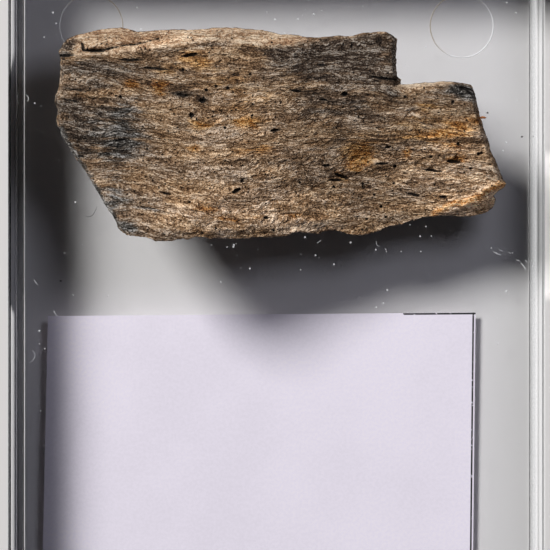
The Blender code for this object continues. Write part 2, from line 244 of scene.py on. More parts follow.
class Recipe:
    """A Geometry Nodes tree with named inputs that is run once on an object."""

    def __init__(self, name: str) -> None:
        """Make the tree with its way in and out.

        Args:
            name: the tree's name.
        """
        self.tree = bpy.data.node_groups.new(name, "GeometryNodeTree")
        self.wiring = Wiring(self.tree)
        for way in ("INPUT", "OUTPUT"):
            self.tree.interface.new_socket("Geometry", in_out=way, socket_type="NodeSocketGeometry")
        self.entry = self.wiring.add("NodeGroupInput")
        self.exit = self.wiring.add("NodeGroupOutput")
        self.values: dict[str, object] = {}

    def input(self, name: str, value: object, kind: str = "Float") -> Socket:
        """Add a named input.

        Args:
            name: the input's name.
            value: what it is set to when the tree is run.
            kind: the sort of value, such as Float, Int or Material.

        Returns:
            The input's output in the tree.
        """
        way = self.tree.interface
        socket = way.new_socket(name, in_out="INPUT", socket_type=f"NodeSocket{kind}")
        self.values[socket.identifier] = value
        return self.entry.outputs[name]

    def give(self, geometry: Socket, material: Material) -> None:
        """End the tree with real geometry that has its material.

        Args:
            geometry: what the tree has made.
            material: the finish to put on it.
        """
        real = self.wiring.add("GeometryNodeRealizeInstances", {"Geometry": geometry}).outputs[0]
        inputs = {"Geometry": real, "Material": self.input("Finish", material, "Material")}
        dressed = self.wiring.add("GeometryNodeSetMaterial", inputs)
        self.wiring.feed(self.exit, {0: dressed.outputs[0]})

    def run(self, start: Mesh, name: str) -> Mesh:
        """Run the tree on a mesh and keep the result as a plain mesh.

        Args:
            start: the mesh to run on.
            name: the new mesh's name.

        Returns:
            The new mesh.
        """
        thing = place(start, start.name)
        modifier = thing.modifiers.new(self.tree.name, "NODES")
        modifier.node_group = self.tree
        for identifier, value in self.values.items():
            modifier[identifier] = value
        graph = bpy.context.evaluated_depsgraph_get()
        mesh = bpy.data.meshes.new_from_object(
            thing.evaluated_get(graph), preserve_all_data_layers=True, depsgraph=graph
        )
        bpy.data.objects.remove(thing)
        mesh.name = name
        return mesh


def place(mesh: Mesh, name: str) -> Thing:
    """Put a mesh in the scene as an object at the origin.

    Args:
        mesh: the mesh, in metres.
        name: the object's name.

    Returns:
        The object.
    """
    thing = bpy.data.objects.new(name, mesh)
    bpy.context.scene.collection.objects.link(thing)
    return thing


def mesh_from(name: str, points: Iterable, faces: Sequence[Sequence[int]]) -> Mesh:
    """Make a smooth mesh from points in millimetres.

    Args:
        name: the mesh's name.
        points: its points.
        faces: its faces, as point numbers.

    Returns:
        The mesh, in metres.
    """
    mesh = bpy.data.meshes.new(name)
    mesh.from_pydata([Vector(point) * MM for point in points], [], faces)
    mesh.validate()
    mesh.shade_smooth()
    return mesh


def level_face(name: str, half_x: float, half_y: float, height: float, x: float = 0.0) -> Mesh:
    """Make one level rectangle.

    Args:
        name: the mesh's name.
        half_x: half its size along X.
        half_y: half its size along Y.
        height: its height.
        x: its middle along X.

    Returns:
        The mesh, in metres.
    """
    sides = ((-1, -1), (1, -1), (1, 1), (-1, 1))
    points = [(x + side_x * half_x, side_y * half_y, height) for side_x, side_y in sides]
    return mesh_from(name, points, ((0, 1, 2, 3),))


def store(mesh: Mesh, name: str, values: Sequence[float]) -> None:
    """Keep one number for each of a mesh's points, under a name."""
    attribute = mesh.attributes.new(name, "FLOAT", "POINT")
    attribute.data.foreach_set("value", np.array(values, dtype=np.float32))


def tube_faces(rings: int, sides: int) -> list[tuple[int, ...]]:
    """Return the faces that join rings of points and close both ends.

    Args:
        rings: how many rings there are.
        sides: how many points each ring has.

    Returns:
        The faces as point numbers.
    """
    faces: list[tuple[int, ...]] = [tuple(reversed(range(sides)))]
    for low in range(0, (rings - 1) * sides, sides):
        for side in range(sides):
            after, high = (side + 1) % sides, low + sides
            faces.append((low + side, low + after, high + after, high + side))
    faces.append(tuple(range((rings - 1) * sides, rings * sides)))
    return faces


def new_material(name: str) -> tuple[Material, Wiring, Node]:
    """Start a Principled material.

    Args:
        name: the material's name.

    Returns:
        The material, its wiring and its shader.
    """
    material = bpy.data.materials.new(name)
    material.use_nodes = True
    return material, Wiring(material.node_tree), material.node_tree.nodes["Principled BSDF"]


def millimetres(wiring: Wiring, position: Socket | None = None) -> Socket:
    """Return a position in millimetres, or the places on a material's own surface."""
    source = position or wiring.add("ShaderNodeTexCoord").outputs["Object"]
    return wiring.vector("MULTIPLY", source, (1 / MM,) * 3)


def along_fibres(wiring: Wiring, spot: Socket) -> Socket:
    """Return coordinates whose X follows the bone's fibres.

    Args:
        wiring: the tree's wiring.
        spot: plain coordinates in millimetres.

    Returns:
        The bent coordinates' output.
    """
    x = wiring.split(spot)["X"]
    left = wiring.math("MINIMUM", wiring.math("ADD", x, -FIBRES_BEND[0]), 0.0)
    right = wiring.math("MAXIMUM", wiring.math("SUBTRACT", x, FIBRES_BEND[1]), 0.0)
    slow = wiring.math("SUBTRACT", wiring.noise(spot, (0.13, 0.30, 0.30)), 0.5)
    quick = wiring.math("SUBTRACT", wiring.noise(spot, (0.45, 0.90, 0.90)), 0.5)
    bend = wiring.weigh((slow, 2.6), (quick, 0.4), (left, 0.13), (right, 0.09))
    shift = wiring.add("ShaderNodeCombineXYZ", {"Y": bend})
    return wiring.vector("ADD", spot, shift.outputs[0])


def hide(mesh: Mesh) -> None:
    """Place a studio card that nothing sees and that only throws a shadow.

    Args:
        mesh: the card.
    """
    card = place(mesh, mesh.name)
    for sight in ("camera", "diffuse", "glossy", "transmission", "volume_scatter"):
        setattr(card, f"visible_{sight}", False)


def settle(
    mesh: Mesh, name: str, material: Material, slot: str, *nodes: str, shadow: bool = True
) -> Thing:
    """Make a finished piece of a mesh, tie it to the frame and report it.

    Args:
        mesh: the piece's mesh.
        name: the piece's name.
        material: its finish.
        slot: not used.
        nodes: the CAD nodes that it stands for.
        shadow: whether it throws a shadow.

    Returns:
        The piece.
    """
    if not mesh.materials:
        mesh.materials.append(material)
    piece = place(mesh, name)
    piece.visible_shadow = shadow
    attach(piece, "root")
    if nodes:
        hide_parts(*nodes)
    log.info("%s: %d faces", name, len(mesh.polygons))
    return piece


# Finishes


@dataclass(frozen=True)
class FossilFinish:
    """Mineralised bone: fibrous brown with umber, char, rust, ochre, tan and cream by marks, with
    painted shade in its hollows, on its sides and below the crest, and painted light and glints.
    """

    roughness: Place = (0.46, 0.76)
    shine: float = 0.22
    grain_depth: float = 0.30
    painted_light_gain: float = 1.9  # how many times lighter the bone is where it is marked pale, mostly painted light where the bone tilts away from the key
    bone_stops: tuple = (
        (0.00, (0.012, 0.006, 0.003)), (0.12, (0.042, 0.022, 0.011)), (0.30, (0.116, 0.065, 0.032)),
        (0.50, (0.218, 0.132, 0.070)), (0.70, (0.315, 0.205, 0.118)), (0.88, (0.480, 0.340, 0.220)),
        (1.00, (0.740, 0.590, 0.430)),
    )
    # Umber, also laid as painted shade under the crest.
    umber_and_shade_stops: tuple = (
        (0.00, (0.005, 0.003, 0.001)), (0.30, (0.021, 0.012, 0.007)), (0.50, (0.045, 0.028, 0.018)),
        (0.72, (0.090, 0.058, 0.038)), (0.90, (0.205, 0.150, 0.103)), (1.00, (0.420, 0.360, 0.300)),
    )
    # Char, also laid as painted shade along the slanted rim and its side.
    char_and_shade_stops: tuple = (
        (0.00, (0.004, 0.004, 0.004)), (0.30, (0.019, 0.016, 0.013)), (0.50, (0.041, 0.035, 0.028)),
        (0.72, (0.086, 0.075, 0.062)), (0.90, (0.210, 0.195, 0.175)), (1.00, (0.480, 0.450, 0.420)),
    )
    rust_stops: tuple = (
        (0.00, (0.012, 0.003, 0.001)), (0.30, (0.070, 0.018, 0.003)), (0.50, (0.175, 0.056, 0.008)),
        (0.70, (0.330, 0.125, 0.022)), (0.90, (0.520, 0.260, 0.075)), (1.00, (0.640, 0.400, 0.180)),
    )
    orange_stops: tuple = (
        (0.00, (0.080, 0.022, 0.004)), (0.40, (0.330, 0.120, 0.026)), (0.70, (0.560, 0.255, 0.075)),
        (1.00, (0.820, 0.540, 0.290)),
    )
    tan_stops: tuple = (
        (0.00, (0.070, 0.030, 0.013)), (0.25, (0.275, 0.146, 0.074)), (0.50, (0.430, 0.250, 0.138)),
        (0.75, (0.600, 0.388, 0.230)), (1.00, (0.850, 0.665, 0.470)),
    )
    cream_stops: tuple = (
        (0.00, (0.240, 0.135, 0.072)), (0.50, (0.590, 0.400, 0.250)), (1.00, (0.860, 0.690, 0.500)),
    )
    # Painted shade: the sides, which face away from the light, take darker colours than the upper
    # side.
    side_painted_shade_stops: tuple = (
        (0.00, (0.012, 0.008, 0.006)), (0.45, (0.062, 0.040, 0.026)), (0.75, (0.142, 0.094, 0.060)),
        (1.00, (0.300, 0.220, 0.150)),
    )
    ochre: Colour = (1.16, 0.90, 0.50)
    cool: Colour = (0.99, 0.985, 1.02)
    warm: Colour = (1.08, 0.985, 0.87)
    # Painted shade: the near black inside pores, slits and the crack.
    hollow_shade: Colour = (0.006, 0.004, 0.003)
    # Painted highlight: the colour of tiny sparkling glints.
    painted_glint: Colour = (0.8, 0.74, 0.66)
    tones: Place = (0.86, 1.575)  # the mixed noise at the darkest and at the palest stop
    # Layers of noise: waves for each millimetre along X, Y and Z, detail and roughness
    broad_noise: tuple = ((0.20, 1.2, 1.2), 3.0, 0.60)
    fibre_noise: tuple = ((0.42, 3.4, 3.4), 2.0, 0.55)
    speck_noise: tuple = ((2.4, 6.5, 6.5), 2.0, 0.6)
    grain_noise: tuple = ((6.5, 8.5, 8.5), 1.0, 0.5)
    line_noise: tuple = ((0.85, 4.0, 4.0), 2.0, 0.5)
    tint_noise: tuple = ((0.22, 0.5, 0.5), 2.0)
    edge_noise: tuple = ((0.35, 1.9, 1.9), 3.0, 0.62)
    # Spots in cells: cells for each millimetre, their reach and the share without a spot
    pores: tuple = ((2.2, 3.4, 3.4), (0.30, 0.16), 0.66)
    painted_glints: tuple = ((2.2, 2.9, 2.9), (0.16, 0.08), 0.95)
    pore_shade_strength: float = 0.95
    painted_glint_strength: float = 0.8
    line_sharpness: float = 6.0
    tone_shares: tuple = (0.70, 0.55, 0.40, 0.75, 0.22, 0.16)  # broad to lines, then relief, which paints shade in low places and light on raised fibres
    bump_shares: tuple = (0.70, 0.50, 0.28, 0.50, -0.55)  # fibres to grains, then pores
    slit_shade_edge: Place = (0.05, -0.03)  # where a slit's painted shade starts and is full, by its distance
    slit_loose: float = 0.16  # how far its edge wanders
    slit_shade_strength: float = 0.96

    def mark(self, wiring: Wiring, name: str, breakup: object, ragged: float = 1.5) -> Socket:
        """Read one of the mesh's marks with its edge broken up.

        Args:
            wiring: the material's wiring.
            name: the mark's name.
            breakup: noise from 0 to 1.
            ragged: how strongly it breaks the edge.

        Returns:
            The mark's strength.
        """
        strength = wiring.read(name)
        loose = wiring.math("SUBTRACT", breakup, 0.5)
        loose = wiring.math("MULTIPLY_ADD", loose, ragged, strength)
        present = wiring.rescale(strength, 0.02, 0.2)
        return wiring.math("MULTIPLY", wiring.rescale(loose, 0.12, 0.88), present)

    def stained(self, wiring: Wiring, spot: Socket, colour: Socket, tone: Socket) -> Socket:
        """Lay each mark's colour, painted light and painted shade over the bone's.

        Args:
            wiring: the material's wiring.
            spot: coordinates along the fibres.
            colour: the plain bone's colour.
            tone: how pale each place is, from 0 to 1.

        Returns:
            The stained colour's output.
        """
        breakup = wiring.noise(spot, *self.edge_noise)
        ochre = self.mark(wiring, "ochre", breakup)
        colour = wiring.blend(ochre, colour, wiring.blend(1.0, colour, self.ochre, "MULTIPLY"))
        for name, stops, ragged in (
            ("side", self.side_painted_shade_stops, 1.5),
            ("tan", self.tan_stops, 0.4),
            ("cream", self.cream_stops, 1.2),
            ("umber_and_shade", self.umber_and_shade_stops, 1.5),
            ("char_and_shade", self.char_and_shade_stops, 1.5),
            ("rust", self.rust_stops, 1.5),
            ("orange", self.orange_stops, 1.2),
        ):
            layer = wiring.ramp(tone, stops)
            colour = wiring.blend(self.mark(wiring, name, breakup, ragged), colour, layer)
        # Mostly painted light: lighter where the bone tilts away from the key light.
        pale_and_painted_light = wiring.blend(1.0, colour, (self.painted_light_gain,) * 3, "MULTIPLY")
        return wiring.blend(self.mark(wiring, "pale_and_painted_light", breakup, 0.6), colour, pale_and_painted_light)

    def material(self) -> Material:
        """Return the material."""
        material, wiring, shader = new_material("fossil_bone")
        plain = millimetres(wiring)
        spot = along_fibres(wiring, plain)
        broad = wiring.noise(spot, *self.broad_noise)
        fibres = wiring.noise(spot, *self.fibre_noise)
        specks = wiring.noise(spot, *self.speck_noise)
        grains = wiring.noise(plain, *self.grain_noise)
        lines = wiring.noise(spot, *self.line_noise)
        lines = wiring.math("ABSOLUTE", wiring.math("MULTIPLY_ADD", lines, 2.0, -1.0))
        lines = wiring.math("MULTIPLY", lines, self.line_sharpness, clamp=True)
        # Painted light and shade: the relief's height makes raised fibres paler and low places darker.
        layers = (broad, fibres, specks, grains, lines, wiring.read("relief"))
        tone = wiring.rescale(wiring.weigh(*zip(layers, self.tone_shares)), *self.tones)
        warmth = wiring.rescale(wiring.noise(plain, *self.tint_noise), 0.35, 0.65)
        tint = wiring.blend(warmth, self.cool, self.warm)
        colour = wiring.blend(1.0, wiring.ramp(tone, self.bone_stops), tint, "MULTIPLY")
        colour = self.stained(wiring, spot, colour, tone)
        # Painted shade: pores, slits and the crack are darkened to near black.
        pore = wiring.cells(spot, *self.pores)
        # Painted highlights: tiny glints of sparkling crystals.
        painted_highlight = wiring.cells(spot, *self.painted_glints)
        loose = wiring.math("SUBTRACT", specks, 0.5)
        loose = wiring.math("MULTIPLY_ADD", loose, self.slit_loose, wiring.read("rim_gap"))
        slit = wiring.math("MULTIPLY", wiring.rescale(loose, *self.slit_shade_edge), self.slit_shade_strength)
        slit = wiring.math("MULTIPLY", slit, wiring.math("SUBTRACT", 1.0, wiring.read("side")))
        share = wiring.math("MULTIPLY", pore, self.pore_shade_strength)
        colour = wiring.blend(share, colour, self.hollow_shade)
        share = wiring.math("MULTIPLY", painted_highlight, self.painted_glint_strength)
        colour = wiring.blend(share, colour, self.painted_glint)
        height = wiring.weigh(*zip((fibres, specks, lines, grains, pore), self.bump_shares))
        wiring.feed(shader, {
            "Base Color": wiring.blend(slit, colour, self.hollow_shade),
            "Specular IOR Level": self.shine,
            "Roughness": wiring.rescale(specks, 0.3, 0.7, *self.roughness),
            "Normal": wiring.bump(height, self.grain_depth),
        })
        return material


@dataclass(frozen=True)
class ClearFinish:
    """Clear moulded polystyrene with fine scratches, its floor tinted darker as painted shade and its
    right wall glowing as painted light.
    """

    tint: Colour = (0.87, 0.88, 0.885)  # the floor, darker than the walls: painted shade in place of the light the floor would keep off the ground, as the tray throws no shadow
    clear: Colour = (0.97, 0.975, 0.98)  # the walls
    clear_from: Place = (1.5, 2.1)
    index: float = 1.59
    roughness: Place = (0.012, 0.07)
    painted_glow: float = 0.15  # painted light: emission that brightens the right wall towards its edge, in place of the light the wall carries there
    painted_glow_from: Place = (26.0, 26.7)

    def material(self) -> Material:
        """Return the material."""
        material, wiring, shader = new_material("clear_polystyrene")
        spot = millimetres(wiring)
        hairline = wiring.noise(spot, (0.6, 9.0, 0.6), 3.0, 0.6)
        crossing = wiring.noise(spot, (9.0, 0.5, 0.6), 3.0, 0.6)
        scratch = wiring.math("MAXIMUM", hairline, crossing)
        parts = wiring.split(spot)
        above = wiring.rescale(parts["Z"], *self.clear_from)
        # Painted light: the upper part of the right wall glows.
        edge = wiring.math("MULTIPLY", wiring.rescale(parts["X"], *self.painted_glow_from), above)
        wiring.feed(shader, {
            # Painted shade: the floor's darker tint below, the clear walls above.
            "Base Color": wiring.blend(above, self.tint, self.clear),
            "Emission Strength": wiring.math("MULTIPLY", edge, self.painted_glow),
            "Transmission Weight": 1.0,
            "IOR": self.index,
            "Roughness": wiring.rescale(scratch, 0.66, 0.76, *self.roughness),
        })
        return material


@dataclass(frozen=True)
class RingFinish:
    """The mould's bead, painted bright as light on the arcs that catch it and brownish as painted
    shade elsewhere.
    """

    painted_highlight: Colour = (0.95, 0.95, 0.96)
    painted_shade_brown: Colour = (0.46, 0.39, 0.31)

    def material(self) -> Material:
        """Return the material."""
        material, wiring, shader = new_material("ring_bead")
        patch = wiring.noise(millimetres(wiring), (0.5, 0.5, 0.5), 2.0)
        # Painted light and shade: bright where the bead faces the light's side, brown elsewhere.
        loose = wiring.math("MULTIPLY_ADD", patch, 0.5, wiring.read("painted_light_side"))
        colour = wiring.blend(wiring.rescale(loose, 0.45, 1.05), self.painted_shade_brown, self.painted_highlight)
        wiring.feed(shader, {"Base Color": colour, "Roughness": 0.45})
        return material


@dataclass(frozen=True)
class PaperFinish:
    """White laser paper with a thin printed border near two of its edges."""

    paper: Colour = (0.96, 0.897, 1.0)
    ink: Colour = (0.012, 0.012, 0.014)
    border_width: float = 0.18
    side_margin: float = 0.24
    top_margin: float = 0.10
    top_length: float = 7.6
    grain_depth: float = 0.01

    def line(self, wiring: Wiring, distance: object, middle: float) -> Socket:
        """Return 1 on one of the border's lines.

        Args:
            wiring: the material's wiring.
            distance: the distance from the paper's edge.
            middle: the distance of the line's middle.

        Returns:
            The line's output.
        """
        gap = wiring.math("ABSOLUTE", wiring.math("SUBTRACT", distance, middle))
        half = self.border_width / 2
        return wiring.rescale(gap, half + 0.02, half - 0.02)

    def material(self) -> Material:
        """Return the material."""
        material, wiring, shader = new_material("label_paper")
        spot = millimetres(wiring)
        cloud = wiring.noise(spot, (0.12, 0.12, 0.12), 3.0)
        fibre = wiring.noise(spot, (3.0, 3.0, 3.0), 3.0, 0.6)
        shade = wiring.rescale(cloud, 0.3, 0.7, 0.97, 1.02)
        shade = wiring.math("MULTIPLY", shade, wiring.rescale(fibre, 0.3, 0.7, 0.97, 1.02))
        white = wiring.blend(1.0, self.paper, shade, "MULTIPLY")
        edge = wiring.split(wiring.add("ShaderNodeUVMap", uv_map="from_corner").outputs[0])
        from_right, from_top = edge["X"], edge["Y"]
        side = self.line(wiring, from_right, self.side_margin)
        top = self.line(wiring, from_top, self.top_margin)
        near = wiring.math("LESS_THAN", from_right, self.top_length)
        ink = wiring.math("MAXIMUM", side, wiring.math("MULTIPLY", top, near))
        wear = wiring.noise(spot, (2.2, 2.2, 2.2), 3.0, 0.7)
        ink = wiring.math("MULTIPLY", ink, wiring.rescale(wear, 0.30, 0.40))
        wiring.feed(shader, {
            "Base Color": wiring.blend(ink, white, self.ink),
            "Roughness": wiring.rescale(fibre, 0.2, 0.8, 0.62, 0.82),
            "Normal": wiring.bump(fibre, self.grain_depth),
        })
        return material


@dataclass(frozen=True)
class DustFinish:
    """Lint, crumbs or specks, a little uneven in colour, some glowing faintly as painted light."""

    name: str
    dark: Colour
    light: Colour
    painted_glow: float = 0.0  # painted light: emission that keeps a speck bright in the shade, in place of the light a thin speck lets through

    def material(self) -> Material:
        """Return the material."""
        material, wiring, shader = new_material(self.name)
        patch = wiring.noise(millimetres(wiring), (3.0, 3.0, 3.0), 2.0)
        colour = wiring.blend(patch, self.dark, self.light)
        wiring.feed(shader, {"Base Color": colour, "Roughness": 0.8})
        if self.painted_glow:
            painted_glow = {"Emission Color": (*self.light, 1.0), "Emission Strength": self.painted_glow}
            wiring.feed(shader, painted_glow)
        return material


# The bone


class Mark(Enum):
    """A colour that a patch of the bone has taken up; some also carry painted light, some painted
    shade.
    """

    UMBER_AND_SHADE = "umber_and_shade"
    CHAR_AND_SHADE = "char_and_shade"
    OCHRE = "ochre"
    PALE_AND_PAINTED_LIGHT = "pale_and_painted_light"
    RUST = "rust"
    ORANGE = "orange"
    TAN = "tan"
    CREAM = "cream"


@dataclass(frozen=True)
class Oval:
    """An oval on the plan: its middle, its half length and half width, and its turn."""

    x: float
    y: float
    half_length: float
    half_width: float
    turn: float

    def reach(self, x: Array, y: Array) -> Array:
        """Return the squared distance from the middle, 1 at the oval's edge.

        Args:
            x: places along the bone.
            y: places across it.

        Returns:
            One number for each place.
        """
        turn = math.radians(self.turn)
        along = (x - self.x) * math.cos(turn) + (y - self.y) * math.sin(turn)
        across = (y - self.y) * math.cos(turn) - (x - self.x) * math.sin(turn)
        return (along / self.half_length) ** 2 + (across / self.half_width) ** 2


@dataclass(frozen=True)
class Stain(Oval):
    """A patch of colour with a soft edge."""

    strength: float


@dataclass(frozen=True)
class Slit(Oval):
    """A narrow opening between fibres, or a round hole, with a raised lip."""

    depth: float = 0.24
    dark: float = 1.0


# Patches of each colour: middle, half length, half width, turn in degrees, strength
STAINS = {
    # Mostly painted light: lightens places that tilt away from the key light.
    Mark.PALE_AND_PAINTED_LIGHT: (
        (18.0, 17.5, 6.5, 4.2, 10, 0.75), (20.0, 14.0, 4.5, 1.6, 20, 0.95),
        (8.0, 12.8, 8.0, 2.2, 0, 0.22), (-7.0, 13.5, 8.0, 4.0, 0, 0.35),
        (-4.0, 20.5, 9.0, 4.5, 0, 0.42), (-5.0, 29.7, 6.0, 0.5, 0, 0.25),
        (-15.0, 29.7, 4.5, 0.5, 4, 0.25), (19.5, 12.9, 3.0, 0.9, 20, 0.4),
        (-10.0, 30.4, 5.0, 0.8, 0, 0.45), (-9.0, 12.4, 5.0, 2.0, 0, 0.5),
        (0.5, 12.6, 6.0, 2.2, 0, 0.8), (18.6, 20.7, 2.6, 1.3, 0, 0.5), (19.4, 13.0, 2.8, 0.8, 24, 0.6),
    ),
    Mark.UMBER_AND_SHADE: (
        (-21.2, 24.2, 2.6, 4.2, 0, 0.45), (-21.5, 29.75, 1.3, 0.75, 20, 0.8),
        (-17.5, 27.4, 4.2, 0.9, -2, 0.85), (-21.0, 27.5, 1.6, 0.5, 0, 0.9),
        (-17.8, 25.9, 2.6, 0.6, 0, 0.6), (-21.3, 23.6, 2.2, 0.7, -8, 1.0),
        (-18.0, 23.2, 3.0, 0.6, -4, 0.5), (-20.5, 20.8, 1.9, 1.5, -30, 0.95),
        (-19.6, 18.9, 0.9, 0.8, -50, 0.9), (-16.9, 21.8, 2.2, 1.0, 0, 0.45),
        (3.2, 28.6, 3.6, 1.3, 0, 1.0), (6.8, 28.4, 4.8, 1.7, 0, 0.85), (9.5, 26.3, 3.5, 0.9, 0, 0.35),
        (0.3, 28.6, 1.6, 1.0, 0, 0.6), (-0.5, 27.2, 1.8, 0.8, 0, 0.35), (6.2, 29.8, 2.6, 0.9, 0, 0.85),
        (9.6, 28.6, 1.0, 2.0, 0, 0.9), (11.9, 28.6, 0.6, 2.4, 0, 0.85), (10.5, 26.9, 1.9, 0.7, 0, 0.8),
        (7.0, 27.2, 3.4, 1.0, 0, 0.7), (9.5, 30.6, 2.4, 0.6, 0, 0.75), (3.0, 26.7, 2.4, 0.7, 0, 0.55),
        (4.0, 24.3, 4.2, 1.6, 0, 0.5), (8.5, 24.4, 3.5, 1.6, 0, 0.5), (8.0, 22.2, 4.2, 1.1, 0, 0.42),
        (3.5, 22.8, 2.5, 1.2, 0, 0.35), (12.3, 24.8, 2.2, 1.0, 0, 0.45),
        (6.7, 20.2, 1.2, 0.9, 0, 0.35), (-9.7, 24.9, 1.2, 0.45, -6, 0.85),
        (-7.6, 24.3, 0.7, 0.6, 0, 0.7), (-8.7, 22.8, 0.5, 0.5, 0, 0.5),
        (-12.4, 12.9, 1.3, 0.5, -6, 0.5), (-11.6, 14.9, 1.0, 0.3, 0, 0.4),
        (2.4, 12.6, 1.6, 0.35, 0, 0.4), (-17.0, 16.4, 1.4, 0.8, -30, 0.45),
        (-22.0, 29.0, 0.9, 0.3, 0, 0.8), (-19.5, 22.0, 3.2, 2.6, 0, 0.35),
    ),
    Mark.CHAR_AND_SHADE: (
        (-15.8, 20.4, 3.4, 3.0, 0, 0.55), (-16.5, 15.2, 1.6, 1.6, -50, 0.45),
        (-15.7, 22.6, 1.4, 1.6, 0, 0.75), (-16.0, 20.6, 1.8, 1.0, 0, 0.7),
        (-15.8, 19.2, 1.5, 0.9, 0, 0.7), (-18.5, 21.4, 1.5, 0.8, 0, 0.5),
        (-17.5, 18.6, 1.5, 0.6, -10, 0.55), (-16.5, 13.6, 1.2, 1.2, -50, 0.7),
        (-15.2, 11.2, 1.3, 0.7, -15, 0.95), (-13.5, 13.6, 2.5, 1.2, -15, 0.35),
        (19.4, 25.3, 1.3, 0.8, -15, 1.0), (19.5, 25.0, 1.5, 0.9, -15, 1.0),
        (7.8, 23.7, 1.2, 0.6, 0, 0.3), (17.0, 25.0, 1.8, 0.6, 0, 0.4),
    ),
    Mark.OCHRE: (
        (-11.3, 27.4, 1.6, 0.5, 0, 0.7), (-9.3, 28.8, 1.1, 0.6, 0, 0.8),
        (-7.6, 28.2, 1.3, 1.0, 0, 0.7), (-7.8, 21.8, 1.8, 1.0, 0, 0.7), (-3.0, 22.1, 1.9, 0.6, 0, 0.8),
        (-6.0, 26.5, 3.5, 1.2, 0, 0.4), (-3.0, 24.4, 4.0, 1.4, 0, 0.45),
        (-8.4, 19.4, 0.9, 0.6, 0, 0.6), (-2.0, 19.2, 2.2, 0.7, 0, 0.5), (8.3, 19.0, 1.7, 1.4, 0, 0.9),
        (14.2, 21.2, 3.0, 1.6, 0, 0.6), (15.5, 23.6, 1.6, 0.7, 0, 0.6),
        (18.2, 21.2, 2.6, 1.3, 0, 0.55), (20.3, 22.3, 0.9, 0.6, 0, 0.6),
    ),
    Mark.RUST: (
        (-12.0, 25.5, 1.1, 0.9, 0, 0.9), (-14.8, 26.0, 0.8, 0.6, 0, 0.85),
        (-9.3, 28.6, 0.5, 0.35, 0, 0.7), (-7.4, 28.1, 0.5, 0.35, 0, 0.5),
        (-3.1, 21.9, 1.1, 0.35, -5, 0.75), (-2.4, 21.7, 0.6, 0.35, -20, 0.8),
        (-4.2, 22.2, 0.7, 0.30, 0, 0.5), (-7.6, 21.6, 1.0, 0.45, 0, 0.5),
        (-8.4, 19.3, 0.5, 0.35, 40, 0.7), (-1.0, 19.35, 0.9, 0.25, 0, 0.7),
        (8.6, 18.2, 1.3, 0.7, 0, 1.0), (9.0, 19.4, 0.9, 0.9, 0, 0.75), (8.3, 17.2, 0.8, 0.35, 0, 0.8),
        (13.4, 19.0, 0.5, 0.6, 0, 0.8), (14.2, 21.4, 0.7, 0.4, 0, 0.5),
        (18.5, 18.2, 1.0, 0.5, 0, 0.95), (18.3, 19.4, 0.8, 0.4, 0, 0.5),
        (17.0, 20.9, 1.8, 0.5, 20, 0.8), (18.0, 19.9, 1.2, 0.6, 0, 0.55),
        (19.0, 21.2, 1.0, 0.6, 0, 0.6), (15.0, 23.7, 1.0, 0.5, 0, 0.6), (20.7, 22.3, 0.5, 0.4, 0, 0.7),
        (6.7, 16.5, 0.8, 0.35, -20, 0.8), (-7.4, 13.1, 1.4, 0.30, -4, 0.8),
        (-5.8, 12.2, 0.8, 0.25, -10, 0.7), (-4.3, 12.0, 0.7, 0.25, 0, 0.6),
        (-1.8, 12.4, 0.8, 0.25, 15, 0.6), (2.0, 12.4, 1.0, 0.30, 0, 0.5),
        (4.4, 12.1, 0.8, 0.25, 0, 0.4),
    ),
    Mark.CREAM: (
        (-9.3, 23.9, 1.3, 0.30, -5, 0.6), (-7.0, 11.1, 1.6, 0.40, 0, 0.35),
        (-0.6, 11.7, 1.2, 0.50, 0, 0.5), (1.6, 11.2, 1.6, 0.35, 0, 0.6),
        (4.6, 11.6, 1.9, 0.40, 0, 0.5), (8.9, 17.3, 1.0, 0.30, 0, 0.5),
        (-0.7, 12.9, 1.1, 0.60, 0, 0.35), (12.4, 16.6, 2.2, 0.40, 10, 0.35),
        (-8.0, 18.2, 3.0, 0.50, 0, 0.25),
    ),
    Mark.TAN: (
        (10.6, 28.6, 0.6, 0.60, 0, 0.6),
    ),
}
